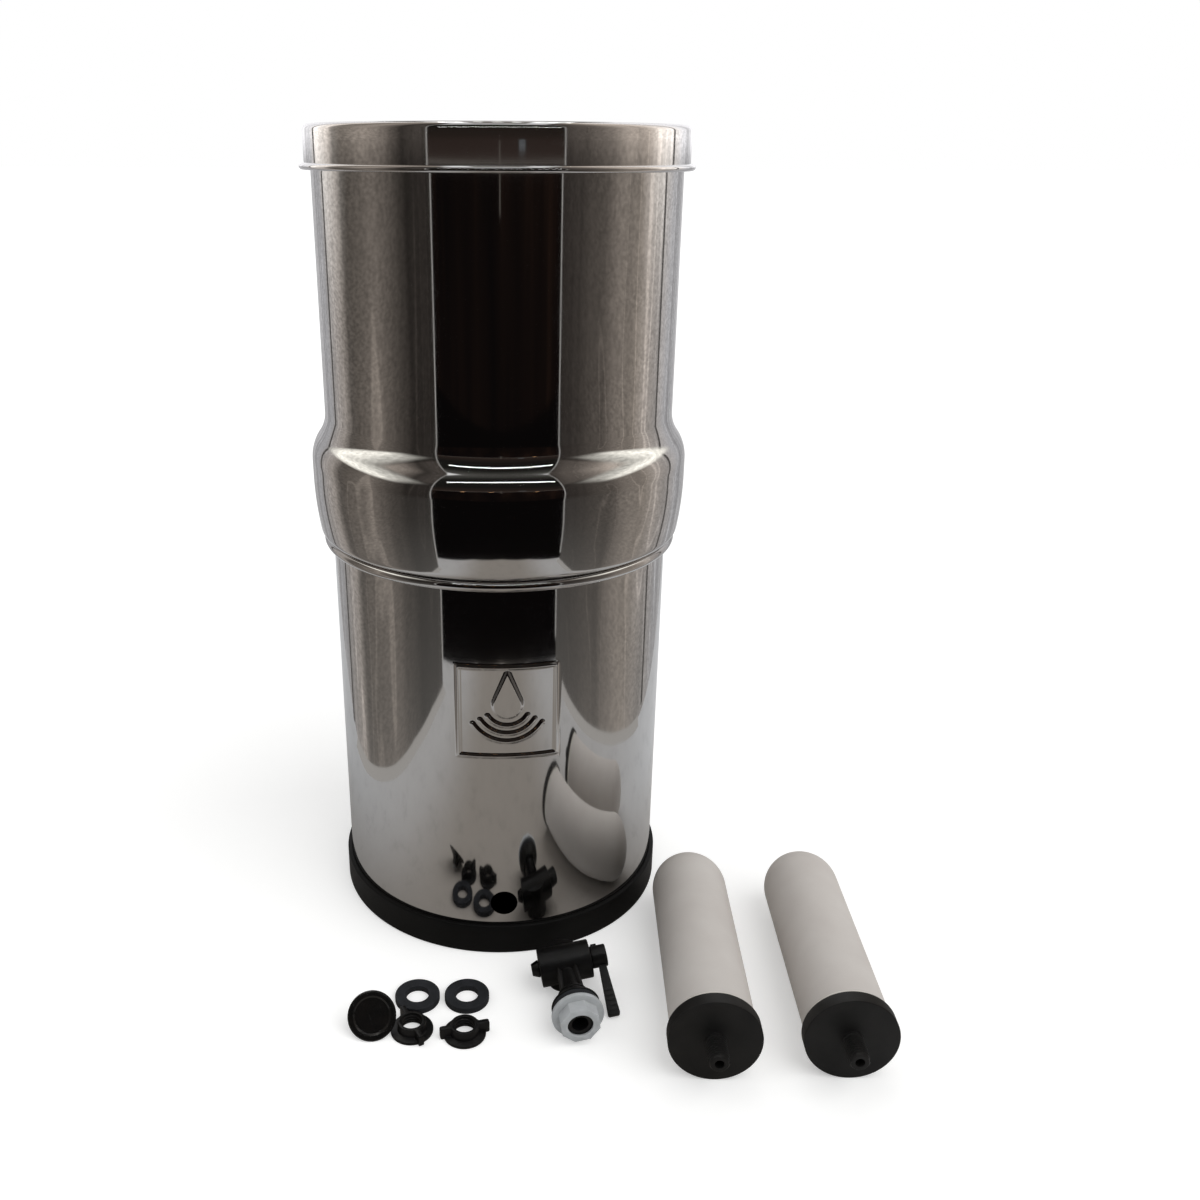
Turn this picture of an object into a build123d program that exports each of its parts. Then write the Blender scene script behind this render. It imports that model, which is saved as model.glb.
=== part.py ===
from build123d import *
import os
from math import acos, asin, atan2, cos, hypot, radians, sin, sqrt

os.makedirs("parts", exist_ok=True)

# A two-chamber gravity water filter as it is unpacked: the housing is stacked on the floor and its fittings
# lie in front of it. Millimetres, +Z up, the origin at the centre of the housing's foot, -Y is the front,
# where the tap hole is.

# Driving dimensions
sheet = 0.8  # stainless sheet of both chambers and the lid
lower_radius = 102.5  # outside of the lower chamber's wall
upper_step = 0.9  # the upper chamber's wall stands this far outside the lower one's
lower_height = 245.2  # top of the lower chamber's rolled rim
housing_height = 474.7  # top of the lid
vessel_corner = 6.0  # outside corner between a chamber's floor and wall

# Clearances
seat_gap = 0.3  # between pieces that stand on one another and can be lifted apart
spigot_clearance = 0.5  # round the upper chamber's spigot
lid_clearance = 0.6  # between the lid's skirt and the upper chamber's rim
ring_clearance = 0.1  # between the rubber ring and the steel inside it
hole_clearance = 0.55  # radial, round a candle's stem
washer_clearance = 0.85  # radial, round a candle's stem
tap_hole_clearance = 0.75  # radial, round the tap's stem
running = 0.05  # radial, a turning piece in its bore
thread_clearance = 0.2  # radial, between a nut and its stem

# Lower chamber
rim_bead = 3.1  # radius of the rolled rim
tap_hole_height = 35.0
panel_size = 58.0  # embossed square on the front
panel_height = 164.5  # its centre
panel_turn = 1.3  # degrees it stands off the tap hole's line
panel_relief = 0.9
panel_rib = 2.0
drop_radius = 9.5  # round part of the embossed water drop
drop_point = 24.0  # from its centre to its point
drop_lift = 4.0  # its centre above the panel's centre
ripple_first = 14.5  # radius of the first ripple under the drop
ripple_step = 5.5
ripple_count = 2
ripple_half_angle = 62.0

# Base ring
ring_wall = 2.9
ring_height = 19.5
ring_sole = 3.0  # rubber under the chamber
ring_sole_width = 14.0
ring_edge = 1.2

# Upper chamber
spigot_depth = 14.0
bulge_out = 8.9  # beyond the straight wall
bulge_corner = 4.5
bulge_lean = 35.5  # height of its leaning side, from the lower chamber's rim
bulge_side = 10.0  # height of its upright side, above that
bulge_rise = 27.5  # height over which it then runs into the straight wall
bulge_tuck = 3.3  # how far the side leans in at the bottom
upper_rim_bead = 1.35
candle_spacing = 84.0

# Lid
lid_corner = 3.0
lid_skirt = 21.3  # from the lid's top to the middle of its bead
lid_bead = 1.75
lid_panel_margin = 18.7  # flat border round the sunk panel
lid_panel_depth = 1.5
lid_panel_slope = 3.0

# Knob and its screw
knob_radius = 13.6
knob_depth = 9.0
knob_rim = 1.2
knob_dish_radius = 10.6
knob_dish_depth = 0.9
knob_neck_radius = 4.6
knob_neck_start = 5.6  # depth at which its back has run into the neck
screw_radius = 2.0
screw_head_radius = 3.75
screw_head = 1.5
screw_grip = 1.2  # gap left for the lid under the screw's head
screw_bite = 6.0
knob_place = (-75.5, 64.5)  # the second number of each place is how far it is ahead of the base ring
knob_heading = 5.0

# Candles
candle_count = 2
candle_length = 160.0  # cap face to the dome's top
ceramic_radius = 23.15
ceramic_wall = 7.0
cap_wall = 1.6
seal_width = 0.55  # resin between the ceramic and the cap
cap_depth = 8.0
cap_floor = 2.5
stem_radius = 5.8
stem_length = 16.5
stem_bore_radius = 2.5
stem_chamfer = 0.8
seal_floor = 1.2  # resin under the ceramic
seal_lip = 0.5  # resin that shows above the cap
core_gap = 0.3
core_length = 138.0
candle_places = ((3.6, 107.0), (76.1, 108.4))  # the first number is how far it is beside the base ring
candle_headings = (4.0, 3.7)

# Washers and wing nuts of the candles
washer_radius = 13.0
washer_thickness = 3.8
washer_edge = 0.4
washer_places = ((-51.5, 39.3), (-22.7, 40.0))
nut_flange_radius = 12.0
nut_flange = 1.8
nut_hub_wall = 2.0
nut_height = 7.0
wing_span = 28.2
wing_thickness = 3.0
wing_corner = 1.2
nut_places = ((-53.4, 64.8), (-23.7, 68.7))
nut_turns = (-64.0, 11.6)

# Tap, in its own frame: X along the valve barrel, -Y along the stem, -Z down the spout
moulded_edge = 0.6
barrel_radius = 11.0
barrel_length = 30.5
plug_radius = 6.05
spout_radius = 10.0
spout_offset = -1.2  # its axis is this far from the stem's, away from the lever
spout_set_back = 2.5
spout_reach = 14.4  # from the barrel's axis to the spout's mouth
spout_crown = 8.0  # from the barrel's axis to the top of the spout's tower
spout_bore_radius = 6.2
neck_root_radius = 5.2  # where it leaves the barrel
neck_radius = 7.1
neck_bore_radius = 3.2
neck_end = 27.0  # from the barrel's axis, as are the next three
collar_end = 30.0
bell_edge = 35.5
bell_end = 36.5
collar_radius = 8.8
collar_ring = 0.9
collar_groove = 0.45
bell_radius = 13.8
neck_rib = 1.6
neck_rib_radius = 7.8  # where a rib leaves the barrel
neck_rib_count = 4
tap_stem_radius = 7.5
tap_stem_bore_radius = 4.75
tap_stem_recess = 1.5  # how far the stem ends inside its nut
tap_washer_radius = 13.4
tap_washer_thicknesses = (2.5, 2.0)
tap_nut_flange_radius = 14.75
tap_nut_flange = 2.5
tap_nut_flats = 21.5
tap_nut_sides = 8
tap_nut_body = 7.5
port_radius = 3.0
snap_neck_radius = 4.2
snap_head_radius = 4.9
snap_head_length = 4.4
snap_wall = 1.6  # barrel wall that the snap head holds
snap_slot = 1.3
snap_barb = 0.8
nut_lip = 0.3  # the nut's mouth is this much narrower than its thread
hub_web = 1.2  # the hub's closed outer end
o_ring_section = 0.55
o_ring_places = (-8.5, 8.5)
o_ring_width = 1.5
square_drive = 7.6
lever_gap = 0.4
hub_overlap = 0.35  # the hub covers the plug's end by this much
hub_length = 9.2
hub_tab = 3.4
hub_tab_rise = 0.9  # above the hub
lever_reach = 36.0
lever_root_width = 3.8
lever_tip_width = 7.2
lever_thickness = 3.4
lever_tip_corner = 1.2
lever_outset = 5.6  # from the hub's inner face to the lever arm's centre line
lever_drop = 27.0  # degrees below the stem, closed
grip_length = 15.0
grip_count = 5
grip_depth = 0.5
grip_width = 4.8
grip_margin = 1.5  # left plain at the lever's tip
tap_place = (35.1, 30.1)
tap_heading = 5.8
tap_roll = 8.5
pose_steps = 8  # rounds that settle the resting pitch


def export(part, name):
    part.label = name
    export_step(part, f"parts/{name}.step")


def ring_edges(part, radius):
    """The circular edges of one radius, lowest first."""
    circles = part.edges().filter_by(GeomType.CIRCLE)
    return circles.filter_by(lambda edge: abs(edge.radius - radius) < 0.01).sort_by(Axis.Z)


def section_plane(origin, along, side):
    """Plane whose Y is a turned piece's axis and whose X is its radius."""
    return Plane(origin=origin, x_dir=side, z_dir=Vector(*side).cross(Vector(*along)))


def laid(place):
    """Where a loose piece lies: across the front, and ahead of the base ring."""
    return (place[0], -ring_radius - place[1])


# Lower chamber
lower_bore = lower_radius - sheet
rim_centre = lower_height - rim_bead
tap_hole_radius = tap_stem_radius + tap_hole_clearance
panel_plane = Plane(
    origin=(0, 0, panel_height),
    x_dir=(cos(radians(panel_turn)), sin(radians(panel_turn)), 0),
    z_dir=(sin(radians(panel_turn)), -cos(radians(panel_turn)), 0),
)

with BuildPart() as relief:
    with BuildSketch(panel_plane):
        Rectangle(panel_size, panel_size)
        Rectangle(panel_size - 2 * panel_rib, panel_size - 2 * panel_rib, mode=Mode.SUBTRACT)
        with Locations((0, drop_lift)):
            # a drop's flanks leave its round part where lines from the point touch it
            touch = atan2(drop_radius, sqrt(drop_point**2 - drop_radius**2))
            flank = (drop_radius * cos(touch), drop_radius * sin(touch))
            Circle(drop_radius)
            Polygon((0, drop_point), (-flank[0], flank[1]), flank, align=None)
        for ripple in range(ripple_count):
            ripple_radius = ripple_first + ripple * ripple_step
            with BuildLine(Plane(panel_plane.location * Location((0, drop_lift, 0)))):
                ThreePointArc(
                    *(
                        (ripple_radius * sin(radians(turn)), -ripple_radius * cos(radians(turn)))
                        for turn in (-ripple_half_angle, 0, ripple_half_angle)
                    )
                )
            trace(line_width=panel_rib)
    extrude(amount=lower_radius + panel_relief)
    with BuildSketch(Plane.XY.offset(panel_height - panel_size)):
        Circle(lower_radius + panel_relief)
        Circle(lower_radius - sheet / 2, mode=Mode.SUBTRACT)
    extrude(amount=2 * panel_size, mode=Mode.INTERSECT)  # the pattern follows the wall

with BuildPart() as lower_chamber:
    with BuildSketch(Plane.XY.offset(ring_sole)):
        Circle(lower_radius)
    extrude(amount=rim_centre - ring_sole)
    fillet(lower_chamber.edges().sort_by(Axis.Z)[0], vessel_corner)
    offset(amount=-sheet, openings=lower_chamber.faces().sort_by(Axis.Z)[-1])
    with BuildSketch(Plane.XZ):
        with Locations((lower_bore + rim_bead, rim_centre)):
            Circle(rim_bead)
    revolve(axis=Axis.Z)
    with BuildSketch(Plane.XZ.offset(lower_bore / 2)):
        with Locations((0, tap_hole_height)):
            Circle(tap_hole_radius)
    extrude(amount=lower_radius, mode=Mode.SUBTRACT)
    add(relief.part)
export(lower_chamber.part, "lower_chamber")

# Base ring
ring_bore = lower_radius + ring_clearance
ring_radius = ring_bore + ring_wall
sole_inner = lower_radius - ring_sole_width

with BuildPart() as base_ring:
    with BuildSketch(Plane.XZ):
        with BuildLine():
            Polyline(
                (sole_inner, 0),
                (ring_radius, 0),
                (ring_radius, ring_height),
                (ring_bore, ring_height),
                (ring_bore, ring_sole),
                (sole_inner, ring_sole),
                close=True,
            )
        make_face()
    revolve(axis=Axis.Z)
    fillet(ring_edges(base_ring, ring_radius), ring_edge)
    fillet(ring_edges(base_ring, ring_bore)[0], vessel_corner)
export(base_ring.part, "base_ring")

# Upper chamber
shelf_height = lower_height + seat_gap
spigot_radius = lower_bore - spigot_clearance
upper_floor = shelf_height - spigot_depth
lid_underside = housing_height - sheet
rim_top = lid_underside - seat_gap
upper_radius = lower_radius + upper_step
upper_bore = upper_radius - sheet
upper_rim_centre = rim_top - upper_rim_bead
candle_hole_radius = stem_radius + hole_clearance
bulge_radius = upper_radius + bulge_out
bulge_side_low = shelf_height + bulge_lean
bulge_side_high = bulge_side_low + bulge_side
bulge_top = bulge_side_high + bulge_rise
# the leaning side is one arc, upright at its top
side_arc = (bulge_lean**2 + bulge_tuck**2) / (2 * bulge_tuck)
side_mid_radius = bulge_radius - side_arc + sqrt(side_arc**2 - (bulge_lean / 2) ** 2)
side_mid = (side_mid_radius, bulge_side_low - bulge_lean / 2)

with BuildPart() as upper_chamber:
    with BuildSketch(Plane.XZ):
        with BuildLine():
            Polyline(
                (0, upper_rim_centre),
                (0, upper_floor),
                (spigot_radius, upper_floor),
                (spigot_radius, shelf_height),
                (bulge_radius - bulge_tuck, shelf_height),
            )
            ThreePointArc((bulge_radius - bulge_tuck, shelf_height), side_mid, (bulge_radius, bulge_side_low))
            Line((bulge_radius, bulge_side_low), (bulge_radius, bulge_side_high))
            TangentArc(
                (bulge_radius, bulge_side_high),
                (bulge_radius - bulge_out / 2, bulge_side_high + bulge_rise / 2),
                tangent=(0, 1),
            )
            TangentArc(
                (upper_radius, bulge_top),
                (bulge_radius - bulge_out / 2, bulge_side_high + bulge_rise / 2),
                tangent=(0, -1),
            )
            Polyline((upper_radius, bulge_top), (upper_radius, upper_rim_centre), (0, upper_rim_centre))
        make_face()
    revolve(axis=Axis.Z)
    fillet(ring_edges(upper_chamber, spigot_radius)[0], vessel_corner)
    fillet(ring_edges(upper_chamber, bulge_radius - bulge_tuck), bulge_corner)
    offset(amount=-sheet, openings=upper_chamber.faces().sort_by(Axis.Z)[-1])
    with BuildSketch(Plane.XZ):
        with Locations((upper_bore + upper_rim_bead, upper_rim_centre)):
            Circle(upper_rim_bead)
    revolve(axis=Axis.Z)
    with BuildSketch(Plane.XY.offset(upper_floor)):
        with GridLocations(candle_spacing, 0, candle_count, 1):
            Circle(candle_hole_radius)
    extrude(amount=sheet, both=True, mode=Mode.SUBTRACT)
export(upper_chamber.part, "upper_chamber")

# Lid
lid_bore = upper_bore + 2 * upper_rim_bead + lid_clearance
lid_radius = lid_bore + sheet
lid_panel_radius = lid_radius - lid_panel_margin
skirt_end = housing_height - lid_skirt

with BuildPart() as lid:
    with BuildSketch(Plane.XZ):
        with BuildLine():
            Polyline(
                (0, skirt_end),
                (lid_radius, skirt_end),
                (lid_radius, housing_height),
                (lid_panel_radius, housing_height),
                (lid_panel_radius - lid_panel_slope, housing_height - lid_panel_depth),
                (0, housing_height - lid_panel_depth),
                close=True,
            )
        make_face()
    revolve(axis=Axis.Z)
    fillet(ring_edges(lid, lid_radius)[-1], lid_corner)
    offset(amount=-sheet, openings=lid.faces().sort_by(Axis.Z)[0])
    with BuildSketch(Plane.XZ):
        with Locations((lid_bore + lid_bead, skirt_end)):
            Circle(lid_bead)
    revolve(axis=Axis.Z)
    with BuildSketch(Plane.XY.offset(housing_height - lid_panel_depth)):
        Circle(screw_radius + thread_clearance)
    extrude(amount=sheet, both=True, mode=Mode.SUBTRACT)
export(lid.part, "lid")

# Knob and its screw
# The knob leans back on its screw: its rim and the screw head's rim are both on the floor.
head_start = knob_depth + screw_grip
knob_tilt = atan2(knob_radius - screw_head_radius, head_start + screw_head - knob_rim)
knob_turn = Vector(sin(radians(knob_heading)), -cos(radians(knob_heading)), 0)
knob_face = knob_turn * cos(knob_tilt) + Vector(0, 0, sin(knob_tilt))
knob_side = Vector(cos(radians(knob_heading)), sin(radians(knob_heading)), 0)
knob_origin = Vector(*laid(knob_place), knob_radius * cos(knob_tilt) + knob_rim * sin(knob_tilt))
knob_plane = section_plane(knob_origin, -knob_face, knob_side)
knob_axis = Axis(knob_origin, -knob_face)

with BuildPart() as lid_knob:
    with BuildSketch(knob_plane):
        with BuildLine():
            Polyline(
                (0, knob_dish_depth),
                (knob_dish_radius - knob_dish_depth, knob_dish_depth),
                (knob_dish_radius, 0),
                (knob_radius - knob_rim / 2, 0),
                (knob_radius, knob_rim / 2),
                (knob_radius, knob_rim),
            )
            Spline(
                (knob_radius, knob_rim),
                (knob_neck_radius, knob_neck_start),
                tangents=[(-4, 1), (-1, 6)],
            )
            Polyline(
                (knob_neck_radius, knob_neck_start),
                (knob_neck_radius, knob_depth),
                (screw_radius + running, knob_depth),
                (screw_radius + running, knob_depth - screw_bite),
                (0, knob_depth - screw_bite),
                (0, knob_dish_depth),
            )
        make_face()
    revolve(axis=knob_axis)
export(lid_knob.part, "lid_knob")

screw_end = knob_depth - screw_bite + 2 * running

with BuildPart() as lid_knob_screw:
    with BuildSketch(knob_plane):
        with BuildLine():
            Polyline(
                (0, screw_end),
                (screw_radius, screw_end),
                (screw_radius, head_start),
                (screw_head_radius, head_start),
                (screw_head_radius, head_start + screw_head),
                (0, head_start + screw_head),
                close=True,
            )
        make_face()
    revolve(axis=knob_axis)
export(lid_knob_screw.part, "lid_knob_screw")

# Candles
# A candle lies on the rim of its cap and on its ceramic, so its axis dips a little towards the dome.
cap_bore = ceramic_radius + seal_width
cap_radius = cap_bore + cap_wall
dome_start = candle_length - ceramic_radius
dome_run = dome_start - cap_depth
candle_dip = acos(ceramic_radius / hypot(cap_radius, dome_run)) - atan2(dome_run, cap_radius)
ceramic_start = cap_floor + seal_floor
cavity_radius = ceramic_radius - ceramic_wall
core_radius = cavity_radius - core_gap
core_start = ceramic_start + core_gap
core_dome = core_start + core_length - core_radius
washer_hole_radius = stem_radius + washer_clearance
nut_bore = stem_radius + thread_clearance
nut_hub_radius = nut_bore + nut_hub_wall

for number in range(candle_count):
    heading = radians(candle_headings[number])
    along = Vector(sin(heading) * cos(candle_dip), cos(heading) * cos(candle_dip), -sin(candle_dip))
    side = Vector(cos(heading), -sin(heading), 0)
    beside, ahead = candle_places[number]
    cap_rise = cap_radius * cos(candle_dip) + cap_depth * sin(candle_dip)
    cap_centre = Vector(*laid((ring_radius + beside, ahead)), cap_rise)
    candle_plane = section_plane(cap_centre, along, side)
    candle_axis = Axis(cap_centre, along)

    with BuildPart() as candle_base:
        with BuildSketch(candle_plane):
            with BuildLine():
                Polyline(
                    (stem_bore_radius, -stem_length),
                    (stem_radius - stem_chamfer, -stem_length),
                    (stem_radius, stem_chamfer - stem_length),
                    (stem_radius, 0),
                    (cap_radius, 0),
                    (cap_radius, cap_depth),
                    (cap_bore, cap_depth),
                    (cap_bore, cap_floor),
                    (stem_bore_radius, cap_floor),
                    close=True,
                )
            make_face()
        revolve(axis=candle_axis)
    export(candle_base.part, f"candle_{number + 1}_base")

    with BuildPart() as candle_seal:
        with BuildSketch(candle_plane):
            with BuildLine():
                Polyline(
                    (cavity_radius, cap_floor),
                    (cap_bore, cap_floor),
                    (cap_bore, cap_depth + seal_lip),
                    (ceramic_radius, cap_depth + seal_lip),
                    (ceramic_radius, ceramic_start),
                    (cavity_radius, ceramic_start),
                    close=True,
                )
            make_face()
        revolve(axis=candle_axis)
    export(candle_seal.part, f"candle_{number + 1}_seal")

    with BuildPart() as candle_ceramic:
        with BuildSketch(candle_plane):
            with BuildLine():
                Line((0, candle_length - ceramic_wall), (0, candle_length))
                CenterArc((0, dome_start), ceramic_radius, 0, 90)
                Polyline(
                    (ceramic_radius, dome_start),
                    (ceramic_radius, ceramic_start),
                    (cavity_radius, ceramic_start),
                    (cavity_radius, dome_start),
                )
                CenterArc((0, dome_start), cavity_radius, 0, 90)
            make_face()
        revolve(axis=candle_axis)
    export(candle_ceramic.part, f"candle_{number + 1}_ceramic")

    with BuildPart() as candle_core:
        with BuildSketch(candle_plane):
            with BuildLine():
                Polyline(
                    (0, core_start + core_length),
                    (0, core_start),
                    (core_radius, core_start),
                    (core_radius, core_dome),
                )
                CenterArc((0, core_dome), core_radius, 0, 90)
            make_face()
        revolve(axis=candle_axis)
    export(candle_core.part, f"candle_{number + 1}_core")

    # its washer and wing nut lie flat
    washer_place = laid(washer_places[number])
    nut_place = laid(nut_places[number])
    with BuildPart() as washer:
        with BuildSketch():
            with Locations(washer_place):
                Circle(washer_radius)
                Circle(washer_hole_radius, mode=Mode.SUBTRACT)
        extrude(amount=washer_thickness)
        fillet(ring_edges(washer, washer_radius), washer_edge)
    export(washer.part, f"candle_washer_{number + 1}")

    with BuildPart() as wing_nut:
        with BuildSketch():
            with Locations(nut_place):
                Circle(nut_flange_radius)
        extrude(amount=nut_flange)
        with BuildSketch():
            with Locations(nut_place):
                Circle(nut_hub_radius)
        extrude(amount=nut_height)
        wing_plane = Plane(
            origin=(*nut_place, nut_height / 2),
            x_dir=(cos(radians(nut_turns[number])), sin(radians(nut_turns[number])), 0),
            z_dir=(sin(radians(nut_turns[number])), -cos(radians(nut_turns[number])), 0),
        )
        with BuildSketch(wing_plane):
            RectangleRounded(wing_span, nut_height, wing_corner)
        extrude(amount=wing_thickness / 2, both=True)
        with BuildSketch():
            with Locations(nut_place):
                Circle(nut_bore)
        extrude(amount=nut_height, mode=Mode.SUBTRACT)
    export(wing_nut.part, f"wing_nut_{number + 1}")

# Tap
# The tap stands loose on the edges of its spout and of its nut's flange, rolled over with its lever side up.
washers_end = bell_end + sum(tap_washer_thicknesses)
nut_flange_end = washers_end + tap_nut_flange
nut_end = nut_flange_end + tap_nut_body
tap_stem_end = nut_end - tap_stem_recess
tap_pitch = 0.0
for _ in range(pose_steps):
    upright = cos(radians(tap_roll)) * cos(tap_pitch)
    lean = sqrt(1 - upright**2)
    spout_rim = lean * (spout_radius - spout_offset)
    tap_rise = upright * spout_reach + spout_rim - sin(tap_pitch) * spout_set_back
    tap_pitch = asin((tap_rise - tap_nut_flange_radius * cos(tap_pitch)) / nut_flange_end)
tap_origin = Vector(*laid(tap_place), tap_rise)
level_x = Vector(cos(radians(tap_heading)), sin(radians(tap_heading)), 0)
tap_y = Vector(-level_x.Y, level_x.X, 0) * cos(tap_pitch) + Vector(0, 0, sin(tap_pitch))
tap_x = level_x * cos(radians(tap_roll)) + level_x.cross(tap_y) * sin(radians(tap_roll))
tap_z = tap_x.cross(tap_y)
barrel_plane = Plane(origin=tap_origin, x_dir=tap_y, z_dir=tap_x)
spout_plane = Plane(origin=tap_origin, x_dir=tap_x, z_dir=tap_z)
stem_plane = Plane(origin=tap_origin, x_dir=tap_x, z_dir=-tap_y)
stem_section = section_plane(tap_origin, -tap_y, tap_x)
stem_axis = Axis(tap_origin, -tap_y)
barrel_section = section_plane(tap_origin, tap_x, tap_z)
barrel_axis = Axis(tap_origin, tap_x)
barrel_end = barrel_length / 2
plug_bore = plug_radius + running
spout_bore_top = -sqrt(plug_bore**2 - (port_radius + running) ** 2) + running

with BuildPart() as tap_body:
    with BuildSketch(barrel_plane.offset(-barrel_end)):
        Circle(barrel_radius)
    extrude(amount=barrel_length)
    fillet(ring_edges(tap_body, barrel_radius), moulded_edge)
    with BuildSketch(spout_plane.offset(-spout_reach)):
        with Locations((spout_offset, spout_set_back)):
            Circle(spout_radius)
    extrude(amount=spout_reach + spout_crown)
    with BuildSketch(stem_section):
        with BuildLine():
            Polyline(
                (0, 0),
                (neck_root_radius, 0),
                (neck_root_radius, barrel_radius),
                (neck_radius, neck_end),
                (collar_radius, neck_end),
                (collar_radius, neck_end + collar_ring),
                (collar_radius - collar_groove, neck_end + collar_ring),
                (collar_radius - collar_groove, collar_end - collar_ring),
                (collar_radius, collar_end - collar_ring),
                (collar_radius, collar_end),
                (bell_radius, bell_edge),
                (bell_radius, bell_end),
                (tap_stem_radius, bell_end),
                (tap_stem_radius, tap_stem_end),
                (0, tap_stem_end),
                close=True,
            )
        make_face()
    revolve(axis=stem_axis)
    for rib in range(neck_rib_count):
        rib_turn = radians((rib + 0.5) * 360 / neck_rib_count)
        rib_side = tap_x * cos(rib_turn) + tap_z * sin(rib_turn)
        with BuildSketch(section_plane(tap_origin, -tap_y, rib_side)):
            Polygon(
                (neck_bore_radius, plug_radius),
                (neck_rib_radius, plug_radius),
                (collar_radius, neck_end),
                (neck_bore_radius, neck_end),
                align=None,
            )
        extrude(amount=neck_rib / 2, both=True)
    with BuildSketch(barrel_plane.offset(-barrel_end + snap_wall)):
        Circle(plug_bore)
    extrude(amount=barrel_length, mode=Mode.SUBTRACT)
    with BuildSketch(barrel_plane):
        Circle(snap_neck_radius + running)
    extrude(amount=-barrel_length, mode=Mode.SUBTRACT)
    with BuildSketch(stem_plane):
        Circle(neck_bore_radius)
    extrude(amount=nut_end, mode=Mode.SUBTRACT)
    with BuildSketch(stem_plane.offset(neck_end)):
        Circle(tap_stem_bore_radius)
    extrude(amount=nut_end, mode=Mode.SUBTRACT)
    with BuildSketch(spout_plane.offset(spout_bore_top)):
        with Locations((spout_offset, spout_set_back)):
            Circle(spout_bore_radius)
    extrude(amount=-spout_reach, mode=Mode.SUBTRACT)
export(tap_body.part, "tap_body")

washer_start = bell_end
for number, thickness in enumerate(tap_washer_thicknesses):
    with BuildPart() as tap_washer:
        with BuildSketch(stem_plane.offset(washer_start)):
            Circle(tap_washer_radius)
            Circle(tap_stem_radius + thread_clearance, mode=Mode.SUBTRACT)
        extrude(amount=thickness)
    export(tap_washer.part, ("tap_outer_washer", "tap_inner_washer")[number])
    washer_start += thickness

with BuildPart() as tap_nut:
    with BuildSketch(stem_plane.offset(washers_end + running)):
        Circle(tap_nut_flange_radius)
    extrude(amount=tap_nut_flange - running)
    fillet(ring_edges(tap_nut, tap_nut_flange_radius)[-1], moulded_edge)
    with BuildSketch(stem_plane.offset(nut_flange_end)):
        RegularPolygon(tap_nut_flats / 2, tap_nut_sides, major_radius=False, rotation=180 / tap_nut_sides)
    extrude(amount=tap_nut_body)
    with BuildSketch(stem_plane):
        Circle(tap_stem_radius + running)
    extrude(amount=tap_stem_end + seat_gap / 2, mode=Mode.SUBTRACT)
    with BuildSketch(stem_plane):
        Circle(tap_stem_radius - nut_lip)
    extrude(amount=2 * nut_end, mode=Mode.SUBTRACT)
export(tap_nut.part, "tap_nut")

# The plug turns in the barrel; its port bends from the spout side to the stem side when the lever is up.
snap_start = -barrel_end - seat_gap
with BuildPart() as tap_plug:
    with BuildSketch(barrel_section):
        with BuildLine():
            Polyline(
                (0, snap_start - snap_head_length),
                (snap_neck_radius - snap_barb, snap_start - snap_head_length),
                (snap_head_radius, snap_start - snap_barb),
                (snap_head_radius, snap_start),
                (snap_neck_radius, snap_start),
                (snap_neck_radius, -barrel_end + snap_wall + seat_gap),
                (plug_radius, -barrel_end + snap_wall + seat_gap),
                (plug_radius, barrel_end),
                (0, barrel_end),
                close=True,
            )
        make_face()
    revolve(axis=barrel_axis)
    with BuildSketch(barrel_plane.offset(barrel_end)):
        Rectangle(square_drive, square_drive)
    extrude(amount=lever_gap + hub_length - hub_web)
    with BuildSketch(barrel_plane.offset(snap_start)):
        Rectangle(snap_slot, 2 * barrel_radius)
    extrude(amount=-snap_head_length, mode=Mode.SUBTRACT)
    with BuildSketch(barrel_section):
        for place in o_ring_places:
            with Locations((plug_radius, place)):
                Rectangle(2 * (2 * o_ring_section + running), o_ring_width)
    revolve(axis=barrel_axis, mode=Mode.SUBTRACT)
    with BuildSketch(spout_plane):
        Circle(port_radius)
    extrude(amount=-barrel_radius, mode=Mode.SUBTRACT)
    with BuildSketch(stem_plane):
        Circle(port_radius)
    extrude(amount=-barrel_radius, mode=Mode.SUBTRACT)
export(tap_plug.part, "tap_plug")

with BuildPart() as tap_o_rings:
    with BuildSketch(barrel_section):
        for place in o_ring_places:
            with Locations((plug_radius - o_ring_section, place)):
                Circle(o_ring_section)
    revolve(axis=barrel_axis)
export(tap_o_rings.part, "tap_plug_o_rings")

hub_start = barrel_end + lever_gap
hub_radius = plug_radius + hub_overlap
grip_pitch = grip_length / grip_count
lever_way = tap_y * -cos(radians(lever_drop)) - tap_z * sin(radians(lever_drop))
lever_origin = tap_origin + tap_x * (hub_start + lever_outset)
lever_plane = Plane(origin=lever_origin, x_dir=tap_x, z_dir=tap_x.cross(lever_way))
tab_plane = Plane(origin=lever_origin, x_dir=tap_x, z_dir=-lever_way)

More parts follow.
